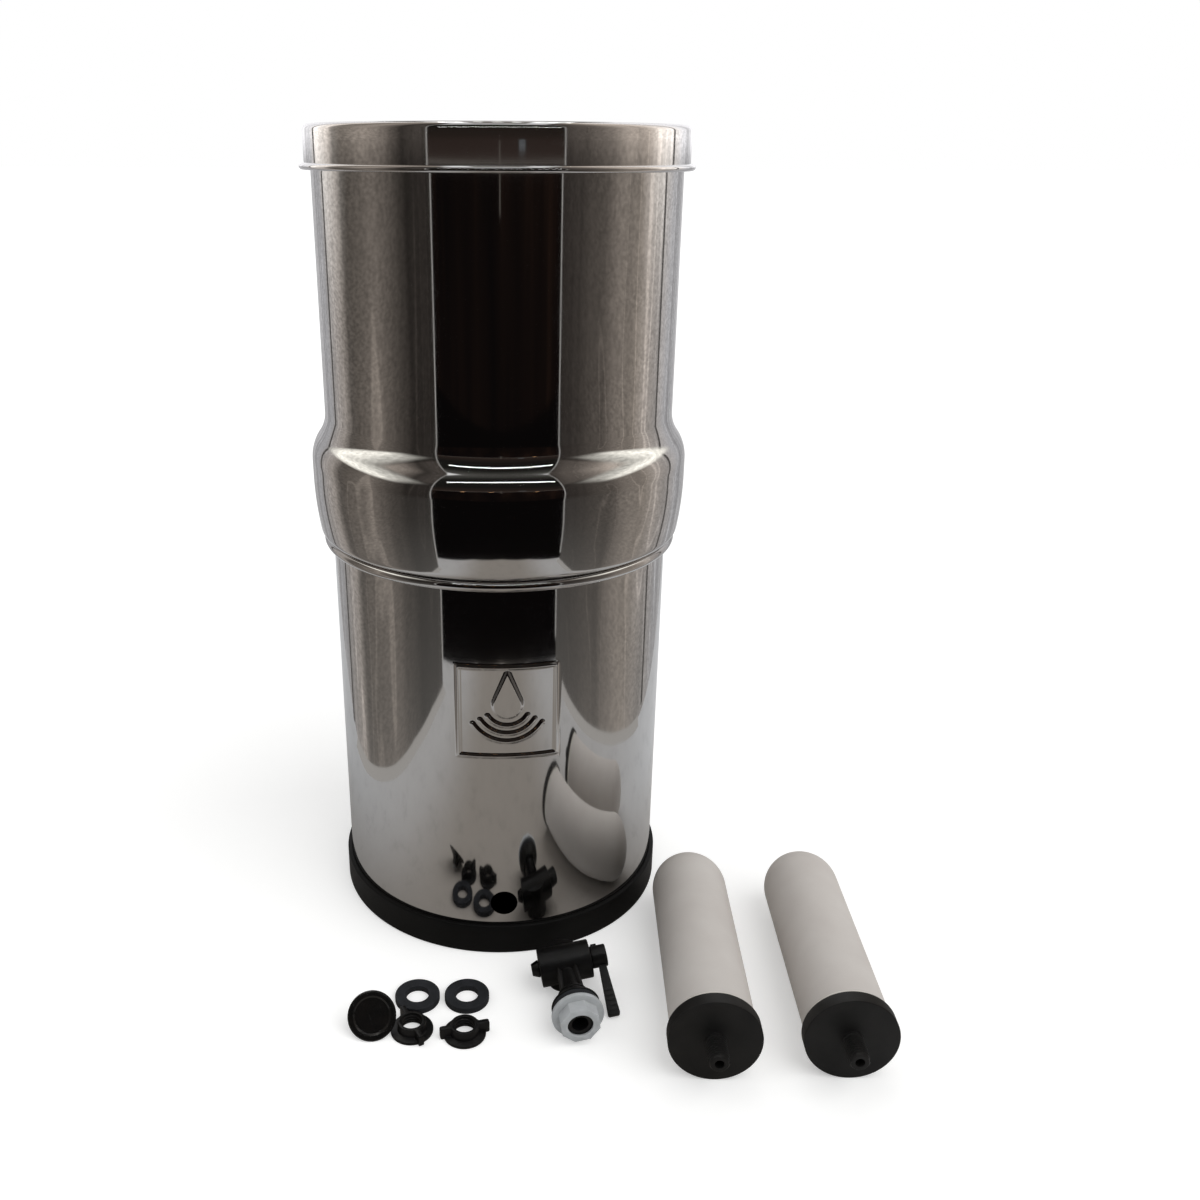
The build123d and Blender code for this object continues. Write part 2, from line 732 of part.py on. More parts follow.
with BuildPart() as tap_lever:
    with BuildSketch(lever_plane):
        Polygon(
            (-lever_root_width / 2, 0),
            (lever_root_width / 2, 0),
            (lever_tip_width / 2, lever_reach),
            (-lever_tip_width / 2, lever_reach),
            align=None,
        )
    extrude(amount=lever_thickness / 2, both=True)
    tip_edges = tap_lever.edges().filter_by(Axis(lever_origin, lever_plane.z_dir))
    fillet(tip_edges.group_by(Axis(lever_origin, lever_way))[-1], lever_tip_corner)
    with BuildSketch(lever_plane.offset(-lever_thickness / 2)):
        with Locations((0, lever_reach - grip_margin - grip_length / 2)):
            with GridLocations(0, grip_pitch, 1, grip_count):
                Rectangle(grip_width, grip_pitch / 2)
    extrude(amount=-grip_depth)
    with BuildSketch(barrel_plane.offset(hub_start)):
        Circle(hub_radius)
    extrude(amount=hub_length)
    fillet(ring_edges(tap_lever, hub_radius), moulded_edge)
    with BuildSketch(tab_plane):
        with Locations((-lever_outset / 2, 0)):
            Rectangle(hub_tab, hub_tab)
    extrude(amount=hub_radius + hub_tab_rise)
    with BuildSketch(barrel_plane.offset(hub_start)):
        Rectangle(square_drive + 2 * running, square_drive + 2 * running)
    extrude(amount=hub_length - hub_web + running, mode=Mode.SUBTRACT)
export(tap_lever.part, "tap_lever")
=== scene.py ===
from math import atan2, cos, hypot, pi, radians, sin, sqrt

import bmesh
import bpy
from mathutils import Matrix, Vector
from mathutils.geometry import interpolate_bezier


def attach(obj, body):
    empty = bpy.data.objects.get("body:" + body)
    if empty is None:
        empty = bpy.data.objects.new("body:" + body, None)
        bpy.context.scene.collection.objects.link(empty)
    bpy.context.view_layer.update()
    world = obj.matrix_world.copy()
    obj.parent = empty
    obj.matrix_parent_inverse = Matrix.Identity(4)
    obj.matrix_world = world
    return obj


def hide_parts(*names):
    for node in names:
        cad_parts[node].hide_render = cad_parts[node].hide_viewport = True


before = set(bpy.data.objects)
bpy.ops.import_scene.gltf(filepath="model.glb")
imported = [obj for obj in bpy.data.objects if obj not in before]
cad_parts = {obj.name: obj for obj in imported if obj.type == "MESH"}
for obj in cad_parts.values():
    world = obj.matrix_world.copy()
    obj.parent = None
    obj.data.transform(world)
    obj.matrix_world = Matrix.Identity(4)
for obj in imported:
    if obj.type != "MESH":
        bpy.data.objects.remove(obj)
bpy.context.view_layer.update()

# A stacked steel gravity water filter with its candles, tap, knob, washers and wing nuts laid out in front.
# Profiles and places are in millimetres, as on a drawing, and finishPiece brings them to metres.
millimetre = 0.001
print("frame loaded:", len(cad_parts), "nodes")


def linearColour(hexCode):
    channels = [int(hexCode[place:place + 2], 16) / 255 for place in (1, 3, 5)]
    return [c / 12.92 if c <= 0.04045 else ((c + 0.055) / 1.055) ** 2.4 for c in channels] + [1]


def addNode(tree, kind, inputs=None, **settings):
    node = tree.nodes.new(kind)
    for name, value in settings.items():
        setattr(node, name, value)
    for name, value in (inputs or {}).items():
        socket = node.inputs[name]
        if isinstance(value, bpy.types.NodeSocket):
            tree.links.new(value, socket)
        else:
            socket.default_value = value
    return node


def startMaterial(name, colour, **shaderValues):
    material = bpy.data.materials.new(name)
    material.use_nodes = True
    tree = material.node_tree
    tree.nodes.clear()
    shader = addNode(tree, "ShaderNodeBsdfPrincipled", {"Base Color": linearColour(colour)})
    for socket, value in shaderValues.items():
        shader.inputs[socket.replace("_", " ")].default_value = value
    addNode(tree, "ShaderNodeOutputMaterial", {"Surface": shader.outputs[0]})
    return material, tree, shader


def colourSteps(tree, factor, stops):
    ramp = addNode(tree, "ShaderNodeValToRGB", {"Fac": factor})
    elements = ramp.color_ramp.elements
    elements[0].position, elements[1].position = stops[0][0], stops[-1][0]
    for position, _ in stops[1:-1]:
        elements.new(position)
    for element, (_, colour) in zip(elements, stops):
        element.color = linearColour(colour) if isinstance(colour, str) else [colour] * 3 + [1]
    return ramp.outputs["Color"]


def stretched(tree, scale):
    place = addNode(tree, "ShaderNodeTexCoord").outputs["Object"]
    return addNode(tree, "ShaderNodeMapping", {"Vector": place, "Scale": scale}).outputs["Vector"]


# Steel: 304 stainless sheet, drawn or rolled and mirror polished on a lathe, so the fine polishing lines
# run round it and the sheet keeps a very slight wave that bends what it mirrors. The real lines are finer
# than the 0.25 mm they are drawn at, which is as fine as still shows
steelLook = dict(
    colour="#cbcac9", roughness=0.035, lineMm=0.25, lineHeight=0.00000007, waveMm=38.0, waveHeight=0.000011,
    hazeSpread=0.045, seamWidth=1.1, seamHeight=0.00003,
)


def polishedSteel(name, seam, dullness=0.0):
    look = steelLook
    base = look["roughness"] + dullness
    material, tree, shader = startMaterial(name, look["colour"], Metallic=1.0, Roughness=base)
    around = stretched(tree, (12, 12, 1000 / look["lineMm"]))
    lines = addNode(tree, "ShaderNodeTexNoise", {"Vector": around, "Scale": 1.0, "Detail": 2.0})
    haze = addNode(tree, "ShaderNodeTexNoise", {
        "Vector": stretched(tree, (1, 1, 1)), "Scale": 30.0, "Detail": 4.0,
    })
    dull = addNode(tree, "ShaderNodeMath", {
        0: lines.outputs["Fac"], 1: haze.outputs["Fac"],
    }, operation="MULTIPLY")
    polish = addNode(tree, "ShaderNodeMapRange", {
        "Value": dull.outputs[0], "From Min": 0.12, "From Max": 0.45,
        "To Min": base, "To Max": base + look["hazeSpread"],
    })
    tree.links.new(polish.outputs["Result"], shader.inputs["Roughness"])
    wave = addNode(tree, "ShaderNodeTexNoise", {
        "Vector": stretched(tree, (1, 1, 0.45)), "Scale": 1000 / look["waveMm"], "Detail": 1.0,
    })
    bent = addNode(tree, "ShaderNodeBump", {
        "Strength": 1.0, "Distance": look["waveHeight"], "Height": wave.outputs["Fac"],
    })
    surface = addNode(tree, "ShaderNodeBump", {
        "Strength": 1.0, "Distance": look["lineHeight"], "Height": lines.outputs["Fac"],
        "Normal": bent.outputs[0],
    })
    if seam:
        # the rolled sheet is welded down its back and the weld is polished almost flush
        place = addNode(tree, "ShaderNodeSeparateXYZ", {"Vector": stretched(tree, (1, 1, 1))})
        side = addNode(tree, "ShaderNodeMath", {0: place.outputs["X"]}, operation="ABSOLUTE")
        bead = addNode(tree, "ShaderNodeMapRange", {
            "Value": side.outputs[0], "From Min": 0.0, "From Max": look["seamWidth"] * millimetre,
            "To Min": 1.0, "To Max": 0.0,
        }, interpolation_type="SMOOTHSTEP")
        behind = addNode(tree, "ShaderNodeMath", {
            0: place.outputs["Y"], 1: 0.02,
        }, operation="GREATER_THAN")
        weld = addNode(tree, "ShaderNodeMath", {
            0: bead.outputs[0], 1: behind.outputs[0],
        }, operation="MULTIPLY")
        surface = addNode(tree, "ShaderNodeBump", {
            "Strength": 1.0, "Distance": look["seamHeight"], "Height": weld.outputs[0],
            "Normal": surface.outputs[0],
        })
    tree.links.new(surface.outputs[0], shader.inputs["Normal"])
    return material


# Moulded and cast finishes share a grain bump, a slow colour drift and a change of gloss
def grainedFinish(name, colours, roughness, grainMm, grainHeightMm, driftMm, **shaderValues):
    material, tree, shader = startMaterial(name, colours[0], Roughness=roughness[0], **shaderValues)
    place = stretched(tree, (1, 1, 1))
    grain = addNode(tree, "ShaderNodeTexNoise", {"Vector": place, "Scale": 1000 / grainMm, "Detail": 3.0})
    drift = addNode(tree, "ShaderNodeTexNoise", {"Vector": place, "Scale": 1000 / driftMm, "Detail": 5.0})
    mixed = addNode(tree, "ShaderNodeMapRange", {
        "Value": drift.outputs["Fac"], "From Min": 0.32, "From Max": 0.68, "To Min": 0.0, "To Max": 1.0,
    })
    tint = colourSteps(tree, mixed.outputs[0], [(0.0, colours[0]), (1.0, colours[1])])
    tree.links.new(tint, shader.inputs["Base Color"])
    gloss = addNode(tree, "ShaderNodeMapRange", {
        "Value": grain.outputs["Fac"], "From Min": 0.3, "From Max": 0.7,
        "To Min": roughness[0], "To Max": roughness[1],
    })
    tree.links.new(gloss.outputs[0], shader.inputs["Roughness"])
    bump = addNode(tree, "ShaderNodeBump", {
        "Strength": 1.0, "Distance": grainHeightMm * millimetre, "Height": grain.outputs["Fac"],
    })
    tree.links.new(bump.outputs[0], shader.inputs["Normal"])
    return material


chamberSteel = polishedSteel("polished304SteelWelded", seam=True)
lidSteel = polishedSteel("polished304SteelDrawn", seam=False, dullness=0.005)
finishes = {
    # EPDM rubber, compression moulded: a soft even sheen with a fine cast grain
    "footRubber": grainedFinish(
        "footRubberEpdm", ("#080808", "#0e0e0e"), (0.5, 0.62), 0.5, 0.012, 40, Specular_IOR_Level=0.2,
    ),
    # nitrile rubber washers, cut from moulded sheet: matt, with a bluish bloom
    "washerRubber": grainedFinish(
        "washerNitrileRubber", ("#1b1d20", "#26282c"), (0.62, 0.78), 0.45, 0.02, 9, Specular_IOR_Level=0.4,
    ),
    # acetal, injection moulded: satin, with slight flow marks
    "tapPlastic": grainedFinish(
        "tapMouldedAcetal", ("#090909", "#101011"), (0.3, 0.44), 0.35, 0.006, 6, Specular_IOR_Level=0.35,
    ),
    # phenolic knob, moulded in a polished tool: glossy black with the haze of handling
    "knobPlastic": grainedFinish("knobGlossPhenolic", ("#0b0b0b", "#110f0e"), (0.14, 0.26), 1.2, 0.0015, 7),
    # natural nylon 6.6, injection moulded: milky, with light passing into its edges
    "nutNylon": grainedFinish(
        "nutNaturalNylon", ("#b3b6b8", "#a6a9ab"), (0.36, 0.5), 0.5, 0.008, 6,
        Subsurface_Weight=0.4, Subsurface_Radius=(0.004, 0.004, 0.0045), Subsurface_Scale=0.5,
    ),
    # polypropylene candle cap, moulded in a spark-eroded tool: an even fine texture
    "capPlastic": grainedFinish(
        "capTexturedPolypropylene", ("#111111", "#1a1918"), (0.46, 0.6), 0.4, 0.02, 14,
        Specular_IOR_Level=0.35,
    ),
    # diatomite ceramic, slip cast and fired without glaze: chalky, faintly mottled, with open pores
    "ceramic": grainedFinish("candleUnglazedCeramic", ("#cbc6c1", "#c4beb9"), (0.86, 0.95), 0.55, 0.02, 30),
    # filled epoxy run round the joint by hand: smoother and a little paler than the ceramic
    "resin": grainedFinish("sealFilledEpoxy", ("#dedad2", "#d2cdc3"), (0.4, 0.55), 0.9, 0.03, 5),
    # pressed carbon block inside the ceramic: dull and grainy
    "carbon": grainedFinish("corePressedCarbon", ("#0b0b0b", "#191919"), (0.8, 0.95), 0.6, 0.08, 4),
    # zinc plated steel screw: cold headed and rolled, bright with fine tool marks
    "screwSteel": grainedFinish(
        "screwPlatedSteel", ("#a9aaab", "#8e9092"), (0.22, 0.36), 0.25, 0.004, 3, Metallic=1.0,
    ),
    # moulded rubber O-rings: glossy with the grease they are fitted with
    "ringRubber": grainedFinish("ringGreasedRubber", ("#0c0c0d", "#131314"), (0.25, 0.35), 0.3, 0.003, 2),
}
print("finishes ready:", len([chamberSteel, lidSteel, *finishes]))


def roundedPath(corners, arcSteps=6, longest=1e9):
    # corners are (radius, height) or (radius, height, fillet); straight runs are cut to the longest step
    path = []
    for index, corner in enumerate(corners):
        point = Vector(corner[:2])
        if len(corner) < 3 or not corner[2]:
            path.append(point)
            continue
        back = (Vector(corners[index - 1][:2]) - point).normalized()
        ahead = (Vector(corners[(index + 1) % len(corners)][:2]) - point).normalized()
        half = back.angle(ahead) / 2
        centre = point + (back + ahead).normalized() * corner[2] / sin(half)
        start = point + back * corner[2] / (sin(half) / cos(half)) - centre
        end = point + ahead * corner[2] / (sin(half) / cos(half)) - centre
        sweep = start.angle(end)
        for step in range(arcSteps + 1):
            share = step / arcSteps
            blend = start * sin((1 - share) * sweep) + end * sin(share * sweep)
            path.append(centre + blend / sin(sweep))
    fine = [path[0]]
    for point in path[1:]:
        pieces = max(1, int((point - fine[-1]).length / longest + 0.999))
        start = fine[-1]
        fine.extend(start.lerp(point, (piece + 1) / pieces) for piece in range(pieces))
    return fine


def arcPath(centre, radius, fromDegrees, toDegrees, steps):
    turns = [radians(fromDegrees + (toDegrees - fromDegrees) * step / steps) for step in range(steps + 1)]
    return [Vector((centre[0] + radius * cos(turn), centre[1] + radius * sin(turn))) for turn in turns]


def spinProfile(path, steps, closed=True):
    # turns a profile round Z into a watertight solid
    bm = bmesh.new()
    verts = [bm.verts.new((point[0], 0, point[1])) for point in path]
    ends = list(zip(verts, verts[1:] + verts[:1])) if closed else list(zip(verts, verts[1:]))
    edges = [bm.edges.new(pair) for pair in ends if (pair[0].co - pair[1].co).length > 1e-6 or not closed]
    bmesh.ops.spin(
        bm, geom=verts + edges, cent=(0, 0, 0), axis=(0, 0, 1), dvec=(0, 0, 0), angle=2 * pi, steps=steps,
        use_merge=True,
    )
    bmesh.ops.remove_doubles(bm, verts=bm.verts[:], dist=0.0005)
    bmesh.ops.dissolve_degenerate(bm, edges=bm.edges[:], dist=0.0001)
    bmesh.ops.recalc_face_normals(bm, faces=bm.faces[:])
    return bm


def addThread(bm, root, crest, pitch, start, end, steps=40):
    # a right-handed helical ridge, its foot a little inside the wall it stands on
    inset, footShare, crestShare = 0.15, 0.42, 0.09
    foot = root - inset if crest > root else root + inset
    wide, narrow = pitch * footShare, pitch * crestShare
    corners = [(foot, -wide), (crest, -narrow), (crest, narrow), (foot, wide)]
    verts = [bm.verts.new((radius, 0, start + height)) for radius, height in corners]
    edges = [bm.edges.new(pair) for pair in zip(verts, verts[1:] + verts[:1])]
    turns = (end - start) / pitch
    ridge = bmesh.ops.spin(
        bm, geom=verts + edges, cent=(0, 0, 0), axis=(0, 0, 1), dvec=(0, 0, pitch / steps),
        angle=2 * pi * turns, steps=int(turns * steps), use_merge=False,
    )
    lastEdges = [item for item in ridge["geom_last"] if isinstance(item, bmesh.types.BMEdge)]
    for loop in (edges, lastEdges):
        bmesh.ops.contextual_create(bm, geom=loop)
    linked = set()
    pending = [verts[0]]
    while pending:
        vert = pending.pop()
        if vert not in linked:
            linked.add(vert)
            pending.extend(edge.other_vert(vert) for edge in vert.link_edges)
    bmesh.ops.recalc_face_normals(bm, faces=list({face for vert in linked for face in vert.link_faces}))


def finishPiece(bm, name, material, body, nodes, place=Matrix(), sharpDegrees=38):
    bmesh.ops.transform(bm, matrix=Matrix.Scale(millimetre, 4) @ place, verts=bm.verts[:])
    mesh = bpy.data.meshes.new(name)
    bm.to_mesh(mesh)
    bm.free()
    mesh.materials.append(material)
    mesh.shade_smooth()
    mesh.set_sharp_from_angle(angle=radians(sharpDegrees))
    piece = bpy.data.objects.new(name, mesh)
    bpy.context.scene.collection.objects.link(piece)
    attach(piece, body)
    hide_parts(*nodes)
    return piece


def finishNode(node, finish):
    # a drawn part that is shown as it is gets its material
    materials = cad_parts[node].data.materials
    materials.clear()
    materials.append(finishes[finish])


def layPlace(origin, outward, side):
    # the local Z of a turned piece points outward, its X to the side
    outward, side = Vector(outward).normalized(), Vector(side).normalized()
    axes = Matrix((side, outward.cross(side), outward)).transposed()
    return Matrix.Translation(origin) @ axes.to_4x4()


def evenLatheNormals(piece, isPlain):
    # a lathe's normals have no part along its turning, whatever cells meet at a corner
    mesh = piece.data
    normals = [Vector(corner.vector) for corner in mesh.corner_normals]
    for polygon in mesh.polygons:
        for loop in polygon.loop_indices:
            point = mesh.vertices[mesh.loops[loop].vertex_index].co
            if isPlain(point):
                along = Vector((-point.y, point.x, 0)).normalized()
                normals[loop] = (normals[loop] - along * normals[loop].dot(along)).normalized()
    mesh.normals_split_custom_set(normals)


# Lower chamber: rolled wall, rolled rim, pressed square with a water drop, and the tap's hole
lowerChamber = dict(
    steps=360, radius=102.5, sheet=0.8, floor=3.0, corner=6.0, beadCentre=(104.8, 242.1), beadRadius=3.1,
    holeHeight=35.0, holeRadius=8.25, holeSoftness=1.2, holeColumns=6, holeRows=3,
    rowStep=4.0, rowsBelowHole=6, rowsAboveHole=50, innerHeights=(236, 228, 200, 170, 140, 110, 80, 60),
)
pressedPanel = dict(
    size=58.0, rib=2.0, height=164.5, turn=1.3, relief=0.9, softness=1.8, margin=3.5,
    fineCuts=((True, 7), (False, 3)),  # cuts in the upright edges and in the level ones
    dropRadius=8.5, dropPoint=22.0, dropLift=5.0, ripples=(13.5, 18.5, 23.5), rippleAngle=58.0,
)


def pressedHeight(across, up):
    panel = pressedPanel
    half = (panel["size"] - panel["rib"]) / 2
    frameGap = abs(max(abs(across), abs(up)) - half) - panel["rib"] / 2
    up -= panel["dropLift"]
    tangent = atan2(panel["dropRadius"], sqrt(panel["dropPoint"] ** 2 - panel["dropRadius"] ** 2))
    if up * cos(tangent) > abs(across) * sin(tangent):
        dropGap = abs(across) * cos(tangent) + up * sin(tangent) - panel["dropRadius"]
    else:
        dropGap = hypot(across, up) - panel["dropRadius"]
    gaps = [frameGap, dropGap]
    for radius in panel["ripples"]:
        lean = atan2(abs(across), -up)
        limit = radians(panel["rippleAngle"])
        if lean < limit:
            gaps.append(abs(hypot(across, up) - radius) - panel["rib"] / 2)
        else:
            end = (radius * sin(limit), -radius * cos(limit))
            gaps.append(hypot(abs(across) - end[0], up - end[1]) - panel["rib"] / 2)
    share = min(1, max(0, 0.5 - min(gaps) / panel["softness"]))
    return panel["relief"] * share * share * (3 - 2 * share)


def cutRoundHole(bm, spec, wall):
    # the square of cells over the hole is swapped for a ring of cells that ends on the hole's edge
    columnWidth = 2 * pi * wall / spec["steps"]
    halfWidth, halfHeight = columnWidth * spec["holeColumns"], spec["rowStep"] * spec["holeRows"]
    inside = []
    for face in bm.faces:
        centre = face.calc_center_median()
        across = wall * atan2(centre.x, -centre.y)
        if abs(hypot(centre.x, centre.y) - wall) < 0.3 and abs(across) < halfWidth:
            if abs(centre.z - spec["holeHeight"]) < halfHeight:
                inside.append(face)
    rimEdges = {edge for face in inside for edge in face.edges}
    rimEdges = [edge for edge in rimEdges if sum(face in inside for face in edge.link_faces) == 1]
    bmesh.ops.delete(bm, geom=inside, context="FACES")
    for radius in (spec["holeRadius"] + spec["holeSoftness"], spec["holeRadius"]):
        grown = bmesh.ops.extrude_edge_only(bm, edges=rimEdges)["geom"]
        rimEdges = [item for item in grown if isinstance(item, bmesh.types.BMEdge)]
        newVerts = [item for item in grown if isinstance(item, bmesh.types.BMVert)]
        rimEdges = [edge for edge in rimEdges if all(vert in newVerts for vert in edge.verts)]
        for vert in newVerts:
            turn = atan2(vert.co.z - spec["holeHeight"], vert.co.x)
            vert.co.x = radius * cos(turn)
            vert.co.z = spec["holeHeight"] + radius * sin(turn)
            vert.co.y = -sqrt(wall * wall - vert.co.x ** 2)
    return rimEdges


def makeLowerChamber():
    spec, panel = lowerChamber, pressedPanel
    outer, inner = spec["radius"], spec["radius"] - spec["sheet"]
    beadFoot = spec["beadCentre"][1] - sqrt(spec["beadRadius"] ** 2 - (spec["beadCentre"][0] - outer) ** 2)
    startTurn = atan2(beadFoot - spec["beadCentre"][1], outer - spec["beadCentre"][0]) * 180 / pi
    rows = range(-spec["rowsBelowHole"], spec["rowsAboveHole"])
    rows = [spec["holeHeight"] + spec["rowStep"] * row for row in rows]
    path = roundedPath([(0, spec["floor"]), (outer, spec["floor"], spec["corner"]), (outer, rows[0])], 8, 30)
    path += [Vector((outer, row)) for row in rows[1:]]
    path += roundedPath([(outer, rows[-1] + 3), (outer, beadFoot)], 1, 4)
    path += arcPath(spec["beadCentre"], spec["beadRadius"], startTurn, 180, 32)[1:]
    path += [Vector((inner, row)) for row in spec["innerHeights"]]
    path += [Vector((inner, row)) for row in reversed(rows[:2 * spec["rowsBelowHole"]])]
    inFloor, inCorner = spec["floor"] + spec["sheet"], spec["corner"] - spec["sheet"]
    path += roundedPath([(inner, rows[0] - 0.5), (inner, inFloor, inCorner), (0, inFloor)], 6, 30)
    bm = spinProfile(path, spec["steps"])

    # finer cells under the pressed pattern, each brought back to the true wall
    reach = panel["size"] / 2 + panel["margin"]

    def underPanel(point):
        onWall = hypot(point.x, point.y) > outer - 0.3 and point.y < 0
        across = outer * atan2(point.x, -point.y)
        return onWall and abs(across) < reach and abs(point.z - panel["height"]) < reach

    for upright, cuts in panel["fineCuts"]:
        edges = []
        for face in bm.faces:
            if underPanel(face.calc_center_median()):
                for edge in face.edges:
                    rise = abs(edge.verts[0].co.z - edge.verts[1].co.z)
                    if (rise > 0.1) == upright:
                        edges.append(edge)
        bmesh.ops.subdivide_edges(bm, edges=list(set(edges)), cuts=cuts, use_grid_fill=True)
    turn, limit = radians(panel["turn"]), reach + spec["rowStep"]
    for vert in bm.verts:
        flat = hypot(vert.co.x, vert.co.y)
        up = vert.co.z - panel["height"]
        if abs(flat - outer) < 0.05 and vert.co.y < 0 and abs(up) < limit:
            across = vert.co.x * cos(turn) + vert.co.y * sin(turn)
            if abs(across) < limit:
                out = outer + pressedHeight(across, up)
                vert.co.x, vert.co.y = vert.co.x * out / flat, vert.co.y * out / flat

    loops = [cutRoundHole(bm, spec, wall) for wall in (outer, inner)]
    bmesh.ops.bridge_loops(bm, edges=loops[0] + loops[1])
    bmesh.ops.recalc_face_normals(bm, faces=bm.faces[:])
    piece = finishPiece(
        bm, "lowerChamberShell", chamberSteel, "housing", ["lower_chamber"],
        sharpDegrees=50,
    )

    def isPlain(point):
        # all but the floor's middle, the pressed square and the rim of the tap's hole
        lengths = (hypot(point.x, point.y), point.x, point.z)
        flat, across, height = (length / millimetre for length in lengths)
        limit = reach + 0.5
        pressed = flat > outer - 0.5 and abs(across) < limit and abs(height - panel["height"]) < limit
        drilled = hypot(across, height - spec["holeHeight"]) < spec["holeRadius"] + 0.15
        return flat > 20 and not (point.y < 0 and (pressed or drilled))

    evenLatheNormals(piece, isPlain)


makeLowerChamber()
print("lower chamber ready")

# Upper chamber: spigot, bulge and straight wall; the floor has a hole for each candle
upperChamber = dict(
    steps=360, wall=103.4, sheet=0.8, floor=231.5, spigot=101.2, shelf=245.5, corner=6.0,
    shelfEdge=(109.0, 4.5), shelfInside=(108.2, 3.7), straightFrom=321,
    # centre, radius and angles of the bulge's leaning side, its shoulder and the run into the wall
    lean=((-80.3, 281.0), 192.6, -9.2, 0), shoulder=((88.83, 291.0), 23.47, 0, 35.87),
    runIn=((126.87, 318.5), 23.47, 215.87, 180),
    holeRadius=6.35, holeSpacing=84.0, discRadius=92.0, beadCentre=(103.95, 472.25), beadRadius=1.35,
)


def makeUpperChamber():
    spec = upperChamber
    wall, sheet = spec["wall"], spec["sheet"]
    bore, straight = wall - sheet, spec["straightFrom"]
    beadFoot = spec["beadCentre"][1] - sqrt(spec["beadRadius"] ** 2 - (spec["beadCentre"][0] - wall) ** 2)
    startTurn = atan2(beadFoot - spec["beadCentre"][1], wall - spec["beadCentre"][0]) * 180 / pi

    def bulge(inset, steps):
        path = []
        for part, side, share in (("lean", -1, 1), ("shoulder", -1, 2), ("runIn", 1, 2)):
            centre, radius, start, end = spec[part]
            arc = arcPath(centre, radius + side * inset, start, end, steps * share)
            path += arc[1:] if part == "runIn" else arc
        return path

    outside, inside = bulge(0, 10), bulge(sheet, 6)[::-1]
    path = roundedPath([
        (spec["discRadius"], spec["floor"]), (spec["spigot"], spec["floor"], spec["corner"]),
        (spec["spigot"], spec["shelf"], 0.5), (spec["shelfEdge"][0], spec["shelf"], spec["shelfEdge"][1]),
        tuple(outside[0]),
    ], 8, 4)
    path += outside[1:]
    path += roundedPath([(wall, straight), (wall, beadFoot)], 1, 6)
    path += arcPath(spec["beadCentre"], spec["beadRadius"], startTurn, 180, 20)[1:]
    path += roundedPath([(bore, 470), (bore, straight)], 1, 20)
    path += inside[:-1]
    path += roundedPath([
        tuple(inside[-1]), (spec["shelfInside"][0], spec["shelf"] + sheet, spec["shelfInside"][1]),
        (spec["spigot"] - sheet, spec["shelf"] + sheet, 1.3),
        (spec["spigot"] - sheet, spec["floor"] + sheet, spec["corner"] - sheet),
        (spec["discRadius"], spec["floor"] + sheet),
    ], 6, 8)
    bm = spinProfile(path, spec["steps"], closed=False)

    def openEdges(test):
        return [
            edge for edge in bm.edges
            if edge.is_boundary and all(test(vert.co) for vert in edge.verts)
        ]

    for height in (spec["floor"], spec["floor"] + sheet):
        rim = openEdges(lambda spot: (
            abs(spot.z - height) < 0.01 and hypot(*spot.xy) < spec["discRadius"] + 0.1
        ))
        for side in (-1, 1):
            hole = bmesh.ops.create_circle(
                bm, segments=64, radius=spec["holeRadius"],
                matrix=Matrix.Translation((side * spec["holeSpacing"] / 2, 0, height)),
            )
            rim += list({edge for vert in hole["verts"] for edge in vert.link_edges})
        bmesh.ops.triangle_fill(bm, edges=rim, use_beauty=True, normal=(0, 0, 1))
    for side in (-1, 1):
        middle = side * spec["holeSpacing"] / 2
        bmesh.ops.bridge_loops(bm, edges=openEdges(
            lambda spot: hypot(spot.x - middle, spot.y) < spec["holeRadius"] + 0.1
        ))
    bmesh.ops.recalc_face_normals(bm, faces=bm.faces[:])
    finishPiece(
        bm, "upperChamberShell", chamberSteel, "upper_chamber", ["upper_chamber"],
        sharpDegrees=50,
    )


makeUpperChamber()
print("upper chamber ready")

# Lid: a drawn cap with a sunk top panel and a rolled bead
lid = dict(
    steps=360, top=474.7, sheet=0.8, radius=106.7, fillet=3.0, panelRadius=88.0, panelDepth=1.5,
    screwHole=2.2, beadCentre=(107.65, 453.4), beadRadius=1.75,
)


def makeLid():
    spec = lid
    sheet, top, radius, hole = spec["sheet"], spec["top"], spec["radius"], spec["screwHole"]
    sunk, panel, fillet = spec["top"] - spec["panelDepth"], spec["panelRadius"], spec["fillet"]
    beadHead = spec["beadCentre"][1] + sqrt(spec["beadRadius"] ** 2 - (spec["beadCentre"][0] - radius) ** 2)
    startTurn = atan2(beadHead - spec["beadCentre"][1], radius - spec["beadCentre"][0]) * 180 / pi
    path = roundedPath([
        (hole, sunk), (panel - 3, sunk, 4.0), (panel, top, 4.0), (radius, top, fillet), (radius, beadHead),
    ], 8, 6)
    path += arcPath(spec["beadCentre"], spec["beadRadius"], startTurn, -180, 28)[1:]
    path += roundedPath([
        (radius - sheet, 455), (radius - sheet, top - sheet, fillet - sheet), (panel - 0.2, top - sheet, 3.2),
        (panel - 3.2, sunk - sheet, 4.8), (hole, sunk - sheet),
    ], 6, 10)
    bm = spinProfile(path, spec["steps"])
    finishPiece(bm, "lidShell", lidSteel, "lid", ["lid"], sharpDegrees=50)


makeLid()
print("lid ready")

# Foot ring: the wall stands in a moulded rubber channel
footRing = dict(
    steps=240, inside=88.5, outside=105.5, height=19.5, sole=3.0, bore=102.6, edge=0.4, outerEdge=1.2,
    innerCorner=5.9,
)


